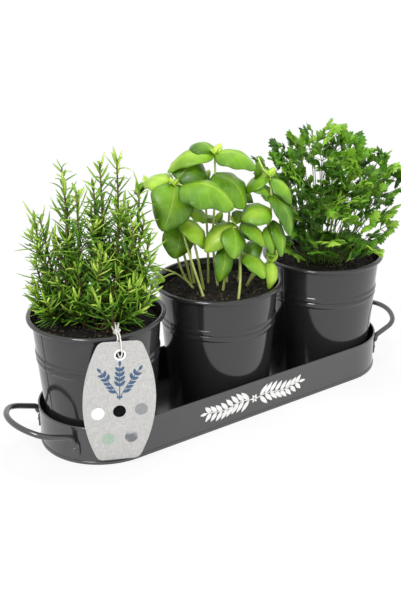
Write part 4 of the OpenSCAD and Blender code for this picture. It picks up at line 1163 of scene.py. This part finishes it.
basil_stems = [
    [(-12, 20, 0), (-20, 15, 24), (-28, 12, 52), (-34, 10, 91)],
    [(-12, 2, 0), (-17, 3, 30), (-22, 0, 50), (-26, -5, 70)],
    [(-20, -2, 0), (-28, 0, 12), (-34, 1, 32), (-31, 1, 55)],
    [(-22, -10, 0), (-30, -8, 34), (-44, -6, 66), (-55, -6, 88)],
    [(16, 24, 0), (18, 18, 22), (16, 13, 42), (14, 10, 60)],
    [(4, 4, 0), (6, 9, 20), (5, 12, 34), (5, 15, 42)],
    [(0, -6, 0), (-4, -2, 40), (-2, 2, 80), (-2, 0, 112)],
    [(24, -4, 0), (36, 2, 34), (43, 6, 70), (42, -1, 94)],
    [(24, -4, 2), (32, 5, 16), (38, 9, 24), (43, 12, 29)],
    [(8, -12, 0), (8, -14, 30), (10, -15, 60), (10, -15, 83)],
    [(-8, -12, 0), (-8, -14, 30), (-9, -15, 60), (-10, -16, 89)],
    [(2, -18, 0), (1, -19, 20), (0, -20, 40), (0, -20, 53)],
    [(18, -16, 0), (19, -18, 14), (20, -19, 30), (20, -20, 43)],
    [(-20, -14, 0), (-22, -15, 14), (-23, -16, 28), (-24, -16, 43)]]
basil_stalks = [
    [(-34, 10, 90), (-31, 11, 91), (-28, 12, 90)], [(-34, 10, 90), (-33, 8, 92), (-32, 7, 94)],
    [(-34, 10, 90), (-36, 9, 91), (-38, 8, 91)], [(-2, 2, 92), (-2, 3, 96), (-2, 5, 98)],
    [(42, 0, 88), (36, -3, 100), (33, -7, 106)], [(43, 6, 64), (42, 8, 58), (41, 9, 56)],
    [(43, 6, 66), (43, 8, 69), (42, 9, 70)], [(43, 7, 57), (44, 7, 59), (45, 7, 60)],
    [(43, 5, 71), (44, 2, 73), (45, -1, 73)], [(15, 12, 52), (18, 11, 57), (19, 11, 60)],
    [(15, 12, 55), (14, 14, 57), (12, 15, 57)], [(14, 10, 59), (15, 8, 61), (15, 6, 61)],
    [(17, 15, 30), (20, 14, 34), (22, 13, 35)], [(17, 15, 30), (19, 11, 33), (21, 8, 34)],
    [(40, 10, 26), (41, 11, 32), (41, 11, 38)], [(-27, 12, 50), (-28, 9, 58), (-29, 6, 62)],
    [(-20, 0, 0), (-27, 1, 9), (-37, 1, 16), (-50, 0, 20)], [(-35, 1, 15), (-40, 3, 15), (-45, 4, 13)]]
random.seed(33)
basil_rise = 1.045
leaf_room, new_leaf_room = 6, 2

# The blade starts as a flat sheet, 12 faces across and 24 along.
bpy.ops.object.select_all(action="DESELECT")
bpy.ops.mesh.primitive_grid_add(x_subdivisions=12, y_subdivisions=24, size=2)
blade_points, blade_faces = as_pattern(bpy.context.object)
points, faces, tones, uvs = [], [], [], []


def basil_leaf(root, tip, wide, bend, cup, tone, ripple):
    """Adds one blade, from its stalk to its tip."""
    ahead = tip - root
    long = ahead.length
    ahead.normalize()
    across = ahead.cross(Vector((0.15, -0.45, 1))).normalized()
    up = across.cross(ahead)
    start = len(points)
    phase = random.uniform(0, 6.28)
    for side, t in blade_points[:, :2]:
        t = 0.005 + 0.99 * (t + 1) / 2
        half = wide * 0.6 * math.sin(math.pi * t ** 0.78) ** 0.66
        # The veins' pockets bulge between the side veins, which curve up towards the tip
        wave = -math.cos((t * 5.5 - abs(side) * 2.3) * 2 * math.pi)
        pocket = wave * 0.009 * wide * (1 - abs(side)) * min(1, abs(side) * 5)
        low = cup * half * abs(side) ** 1.7
        fold = -0.05 * wide * math.exp(-(side * 5) ** 2) * (1 - t)
        frill = ripple * wide * 0.035 * math.sin(t * 17 + phase + side * 2) * side * side
        p = (root + ahead * long * t + up * long * bend * t * (1 - t)
             + across * half * side * (1 - 0.12 * cup * abs(side)) + up * (pocket - low + frill + fold))
        points.append(tuple(p))
        uvs.append(((side + 1) / 2, t))
        tones.append(tone)
    faces.extend(tuple(start + n for n in f) for f in blade_faces)


def in_middle_pot(p, edge=None):
    """A place of the basil, no nearer than an edge to the planes between the pots."""
    place = in_pot((p[0], p[1], p[2] * basil_rise), 0)
    if edge is not None:
        place.x = max(edge - leaf_reach, min(leaf_reach - edge, place.x))
    return place


for a, b, wide in basil_leaves:
    high = a[2] > 70
    wide *= 1.12 if high else 1
    basil_leaf(in_middle_pot(a, leaf_room), in_middle_pot(b, leaf_room), wide,
               (0.9 if high else 0.72) + random.uniform(-0.12, 0.15),
               0.33 + random.uniform(-0.1, 0.12), random.uniform(0.25, 0.75), random.uniform(0.4, 1))
# Four small new leaves stand crosswise at each stem's top.
for stem in basil_stems:
    top = in_middle_pot(stem[-1])
    for k in range(4):
        a = math.radians(90 * k + 25)
        out = Vector((math.cos(a), math.sin(a), 0.55 + 0.5 * (k % 2)))
        size = random.uniform(5, 8) if k % 2 else random.uniform(8, 12)
        tip = top + out.normalized() * size
        tip.x = max(new_leaf_room - leaf_reach, min(leaf_reach - new_leaf_room, tip.x))
        basil_leaf(top - Vector((0, 0, 1.2)), tip, size * 0.55, 0.3, 0.35,
                   random.uniform(0.85, 1.0), 0.3)
points = kept(points, 0, True, True)
blades = plant_piece("basil_leaves", points, faces, tones, uvs=uvs)
thicken(blades, 0.45 * mm, 0)

points, faces, tones = [], [], []
for stem in basil_stems:
    path = smooth([in_middle_pot(p) for p in stem], 6)
    stem_mesh(points, faces, tones, path, thick=1.15, thin=0.8, sides=9, tone=0.5)
for stalk in basil_stalks:
    path = smooth([in_middle_pot(p) for p in stalk], 4)
    stem_mesh(points, faces, tones, path, thick=0.8, thin=0.65, sides=7, tone=0.6)
stems = plant_piece("basil_stems", kept(points, 0, True, True), faces, tones)

leaf_finish = new_finish("basil_leaf")
# A waxy blade: half gloss, bright green in patches of 22 mm, with a pale midrib and five side
# veins on each side. The blade is painted darker towards its edges: painted shade where its cupped
# sides turn down.
spot = add(leaf_finish, "UVMap", uv_map="UVMap")
where = add(leaf_finish, "TexCoord")
tone = add(leaf_finish, "Attribute", attribute_name="tone")
parts = add(leaf_finish, "SeparateXYZ", {"Vector": spot.outputs["UV"]})
from_mid = add(leaf_finish, "Math", {0: parts.outputs["X"], 1: 0.5}, operation="SUBTRACT")
side = add(leaf_finish, "Math", {0: from_mid.outputs[0]}, operation="ABSOLUTE")
climb = add(leaf_finish, "Math", {0: side.outputs[0], 1: -4.6, 2: 0.0}, operation="MULTIPLY_ADD")
rows = add(leaf_finish, "Math", {0: parts.outputs["Y"], 1: 5.5, 2: climb.outputs[0]},
           operation="MULTIPLY_ADD")
saw = add(leaf_finish, "Math", {0: rows.outputs[0], 1: 0.5}, operation="PINGPONG")
side_vein = add(leaf_finish, "MapRange", {"Value": saw.outputs[0], "From Min": 0.0, "From Max": 0.07,
                "To Min": 1.0, "To Max": 0.0})
midrib = add(leaf_finish, "MapRange", {"Value": side.outputs[0], "From Min": 0.006, "From Max": 0.026,
             "To Min": 1.0, "To Max": 0.0})
side_part = add(leaf_finish, "Math", {0: side_vein.outputs[0], 1: 0.42}, operation="MULTIPLY")
vein = add(leaf_finish, "Math", {0: midrib.outputs[0], 1: side_part.outputs[0]}, operation="MAXIMUM")
pale_vein = add(leaf_finish, "Math", {0: vein.outputs[0], 1: 0.45}, operation="MULTIPLY")
patch = add(leaf_finish, "TexNoise", {"Vector": where.outputs["Object"], "Scale": 45, "Detail": 3})
lift = add(leaf_finish, "Math", {0: patch.outputs["Fac"], 1: 1.0, 2: -0.5}, operation="MULTIPLY_ADD")
patched = add(leaf_finish, "Math", {0: tone.outputs["Fac"], 1: lift.outputs[0]}, operation="ADD")
# Painted shade: the tone drops towards the blade's edges, where its cupped sides turn down from the light.
toned = add(leaf_finish, "Math", {0: side.outputs[0], 1: -0.7, 2: patched.outputs[0]},
            operation="MULTIPLY_ADD")
green = add(leaf_finish, "ValToRGB", {"Fac": toned.outputs[0]},
            stops=((0.0, "#426d10"), (0.3, "#6a9a1b"), (0.65, "#98be32"), (1.0, "#c8e25e")))
tint = add(leaf_finish, "Mix", {"Factor": pale_vein.outputs[0], 6: green.outputs["Color"],
           7: linear("#b3cc5a")}, data_type="RGBA")
bump = add(leaf_finish, "Bump", {"Height": vein.outputs[0], "Strength": 0.5, "Distance": 0.0004},
           invert=True)
body = add(leaf_finish, "BsdfPrincipled", {"Base Color": tint.outputs[2], "Roughness": 0.38,
           "Specular IOR Level": 0.5, "Normal": bump.outputs["Normal"]})
add(leaf_finish, "OutputMaterial", {"Surface": body.outputs[0]})
stem_finish = new_finish("basil_stem")
# Stems: pale juicy green, half gloss, with paler stretches of 11 mm.
where = add(stem_finish, "TexCoord")
run = add(stem_finish, "TexNoise", {"Vector": where.outputs["Object"], "Scale": 90, "Detail": 2})
tint = add(stem_finish, "ValToRGB", {"Fac": run.outputs["Fac"]}, stops=((0.3, "#b2c45a"), (0.7, "#d3dc8c")))
body = add(stem_finish, "BsdfPrincipled", {"Base Color": tint.outputs["Color"], "Roughness": 0.45})
add(stem_finish, "OutputMaterial", {"Surface": body.outputs[0]})
paint(blades, leaf_finish)
paint(stems, stem_finish)
for piece in (blades, stems):
    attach(piece, "pot_middle")
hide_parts("basil_plant")
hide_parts("basil_plant")


# Parsley
# Thin upright stalks, each with one leaf of nine toothed leaflets in threes. The leaflets are
# dark green, some paler, and bend down a little on both sides of their midribs. The first list
# says where the stalks end.
parsley_leaves = [
    (-13, 0, 121), (-3, 2, 122), (-26, 0, 111), (-37, 2, 109), (8, 0, 113),
    (20, 4, 108), (29, 2, 104), (-54, 4, 97), (-50, 6, 90), (-48, 2, 80),
    (-38, 8, 96), (-30, 12, 90), (-22, 10, 102), (-7, 14, 94), (12, 8, 100),
    (17, 14, 90), (40, 4, 92), (52, 2, 88), (57, 6, 90), (56, 0, 78),
    (55, 8, 70), (48, 4, 60), (50, 12, 52), (44, 10, 44), (50, 6, 34),
    (27, 14, 78), (4, 16, 76), (-18, 16, 76), (-44, 10, 70), (-31, 18, 64),
    (21, 24, 64), (4, 26, 62), (-14, 26, 48), (13, 30, 52), (31, 24, 48),
    (-22, 26, 34), (1, 32, 32), (19, 34, 28), (30, 28, 26), (34, 30, 21),
    (-8, 36, 24), (-26, 23, 20), (38, 16, 26), (0, -28, 92), (-24, -28, 80),
    (24, -30, 86), (-42, -22, 52), (42, -28, 54), (0, -42, 52), (18, -36, 30),
    (-20, -38, 30), (10, -14, 104), (-12, -16, 106), (36, -16, 74), (-34, -16, 74)]
# Low leaves fill the middle of the bush, spread on a spiral.
for k in range(1, 18):
    spread = math.sqrt(k / 18)
    parsley_leaves.append((24 * spread * math.cos(2.4 * k), 22 * spread * math.sin(2.4 * k),
                           17 + 30 * (k * 7 % 18) / 18))
random.seed(45)
parsley_rise = 0.94
blade_room = 10

# One leaflet: a disc of faces round its middle, drawn out to a wedge with three toothed lobes.
leaflet_edge = [
    (0, 0), (0.08, 0.13), (0.20, 0.34), (0.40, 0.49), (0.49, 0.69), (0.38, 0.71), (0.26, 0.70),
    (0.31, 0.90), (0.19, 0.89), (0.10, 0.90), (0, 1.06)]
leaflet_edge += [(-x, y) for x, y in leaflet_edge[-1:0:-1]][1:]
bpy.ops.object.select_all(action="DESELECT")
bpy.ops.mesh.primitive_circle_add(vertices=len(leaflet_edge), radius=1, fill_type="TRIFAN")
leaflet = bpy.context.object
rim = sorted((v for v in leaflet.data.vertices if v.co.length > 0.5),
             key=lambda v: math.atan2(v.co.x, -v.co.y) % (2 * math.pi))
for v, (x, y) in zip(rim, leaflet_edge):
    v.co = (x, y, -0.30 * abs(x) - 0.16 * y * y)
for v in leaflet.data.vertices:
    if v.co.length < 1e-6:
        v.co = (0, 0.5, 0.01)
rim[0].co = (0, 0, 0)
thicken(leaflet, 0.045, -1)
face_outwards(leaflet)
leaflet_points, leaflet_faces = as_pattern(leaflet)
points, faces, tones = [], [], []


def leaflet_at(root, ahead, up, long, tone):
    """Adds one leaflet, arched a little more or less than the pattern."""
    across = ahead.cross(up).normalized()
    up = across.cross(ahead)
    curl = random.uniform(0.6, 1.8)
    shaped = (np.array(root) + leaflet_points[:, 0:1] * long * np.array(across)
              + leaflet_points[:, 1:2] * long * np.array(ahead)
              + leaflet_points[:, 2:3] * long * curl * np.array(up))
    start = len(points)
    points.extend(map(tuple, shaped))
    faces.extend(tuple(start + n for n in f) for f in leaflet_faces)
    tones.extend([tone] * len(shaped))


def trio(base, ahead, up, stalk, long, tone):
    """A side stalk that ends in three leaflets."""
    end = base + ahead * stalk
    stem_mesh(points, faces, tones, [base, base.lerp(end, 0.5), end], thick=0.42, thin=0.3, sides=4)
    across = ahead.cross(up).normalized()
    for side, size in ((0, 1.0), (-1, 0.82), (1, 0.82)):
        out = (ahead * (1 if side == 0 else random.uniform(0.35, 0.7)) + across * side
               + up * random.uniform(-0.3, 0.35)).normalized()
        lean = (up + across * random.uniform(-0.5, 0.5) - ahead * random.uniform(-0.2, 0.4)).normalized()
        leaflet_at(end - out * 0.4, out, lean, long * size * random.uniform(0.85, 1.15),
                   tone + random.uniform(-0.26, 0.26))


def parsley_leaf(path, long, tone, full=True):
    """A stalk with its blade: three trios of leaflets, or one on a young leaf."""
    stem_mesh(points, faces, tones, path, thick=0.5, thin=0.36, sides=5)
    tip = path[-1]
    ahead = (path[-1] - path[-3]).normalized()
    outward = Vector((tip.x - pot_pitch, tip.y, 0))
    outward = outward.normalized() if outward.length > 4 else Vector((0.3, -0.9, 0))
    ahead = (ahead + outward * 0.55 + astray(0.4)).normalized()
    up = Vector((random.uniform(-0.5, 0.6), random.uniform(-0.8, 0.2), 1)).normalized()
    across = ahead.cross(up).normalized()
    up = across.cross(ahead)
    trio(tip - ahead * 0.4, ahead, up, long * 0.55, long, tone)
    if full:
        for side in (-1, 1):
            out = across * side + ahead * random.uniform(0.3, 0.8) + up * random.uniform(-0.2, 0.5)
            trio(tip - ahead * 0.4, out.normalized(), up, long * random.uniform(0.5, 0.7), long * 0.88,
                 tone + random.uniform(-0.1, 0.1))


# The leaves at the bush's right and front that are paler than the rest, by their place in the list
light_ones = {17, 18, 24, 30, 33, 34, 36, 39}
for n, place in enumerate(parsley_leaves):
    top = in_pot((place[0], place[1], place[2] * parsley_rise), pot_pitch)
    top.x = max(top.x, pot_pitch - leaf_reach + blade_room)
    foot = Vector((pot_pitch + (top.x - pot_pitch) * 0.3, top.y * 0.3, soil_level))
    knee = Vector((foot.x + (top.x - foot.x) * 0.4, foot.y + (top.y - foot.y) * 0.4,
                   foot.z + (top.z - foot.z) * 0.6))
    path = swayed([bent(foot, knee, top, k / 8) for k in range(9)])
    parsley_leaf(path, random.uniform(10, 12.5), 0.72 if n in light_ones else random.uniform(0.0, 0.7))
    for share in ((0.5, 0.8) if place[2] > 60 else (0.65,) if place[2] > 36 else ()):
        start = path[round(8 * share + random.uniform(-0.6, 0.6))]
        out = Vector((random.uniform(-1, 1), random.uniform(-1.3, 0.7), 0.35)).normalized()
        side_path = [start, start + out * 6 + Vector((0, 0, 3)), start + out * 11 + Vector((0, 0, 9))]
        parsley_leaf(smooth(side_path, 3), random.uniform(8, 10.5), random.uniform(0.0, 0.65),
                     full=random.random() < 0.6)
# Four young leaves lie low over the soil.
for n in range(1, 5):
    a = golden_turn * n
    start = Vector((pot_pitch + 20 * math.cos(a), 20 * math.sin(a), soil_level))
    lean = Vector((math.cos(a), math.sin(a), 0))
    parsley_leaf([start, start + lean * 2 + Vector((0, 0, 5)), start + lean * 5 + Vector((0, 0, 9)),
                  start + lean * 9 + Vector((0, 0, 11))], 7.5, random.uniform(0.5, 1.0), full=False)
points = kept(points, pot_pitch, True, False)
points[:, 2] = np.maximum(points[:, 2], soil_level)
parsley = plant_piece("parsley_bush", points, faces, tones, smooth_shade=False)
parsley_finish = new_finish("parsley_leaf_and_stalk")
# Flat-leaved parsley: thin half-gloss blades, deep green in patches of 8 mm, with paler young
# ones. The stalks are a duller green.
where = add(parsley_finish, "TexCoord")
tone = add(parsley_finish, "Attribute", attribute_name="tone")
patch = add(parsley_finish, "TexNoise", {"Vector": where.outputs["Object"], "Scale": 120, "Detail": 3})
lift = add(parsley_finish, "Math", {0: patch.outputs["Fac"], 1: 0.4, 2: -0.2}, operation="MULTIPLY_ADD")
toned = add(parsley_finish, "Math", {0: tone.outputs["Fac"], 1: lift.outputs[0]}, operation="ADD")
green = add(parsley_finish, "ValToRGB", {"Fac": toned.outputs[0]},
            stops=((0.0, "#26470c"), (0.26, "#4a7b1a"), (0.6, "#71a32a"), (1.0, "#a6cd4c")))
is_stalk = add(parsley_finish, "Math", {0: tone.outputs["Fac"], 1: -0.5}, operation="LESS_THAN")
tint = add(parsley_finish, "Mix", {"Factor": is_stalk.outputs[0], 6: green.outputs["Color"],
           7: linear("#5f7d33")}, data_type="RGBA")
body = add(parsley_finish, "BsdfPrincipled", {"Base Color": tint.outputs[2], "Roughness": 0.42,
           "Specular IOR Level": 0.3})
add(parsley_finish, "OutputMaterial", {"Surface": body.outputs[0]})
paint(parsley, parsley_finish)
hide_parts("parsley_plant")
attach(parsley, "pot_right")
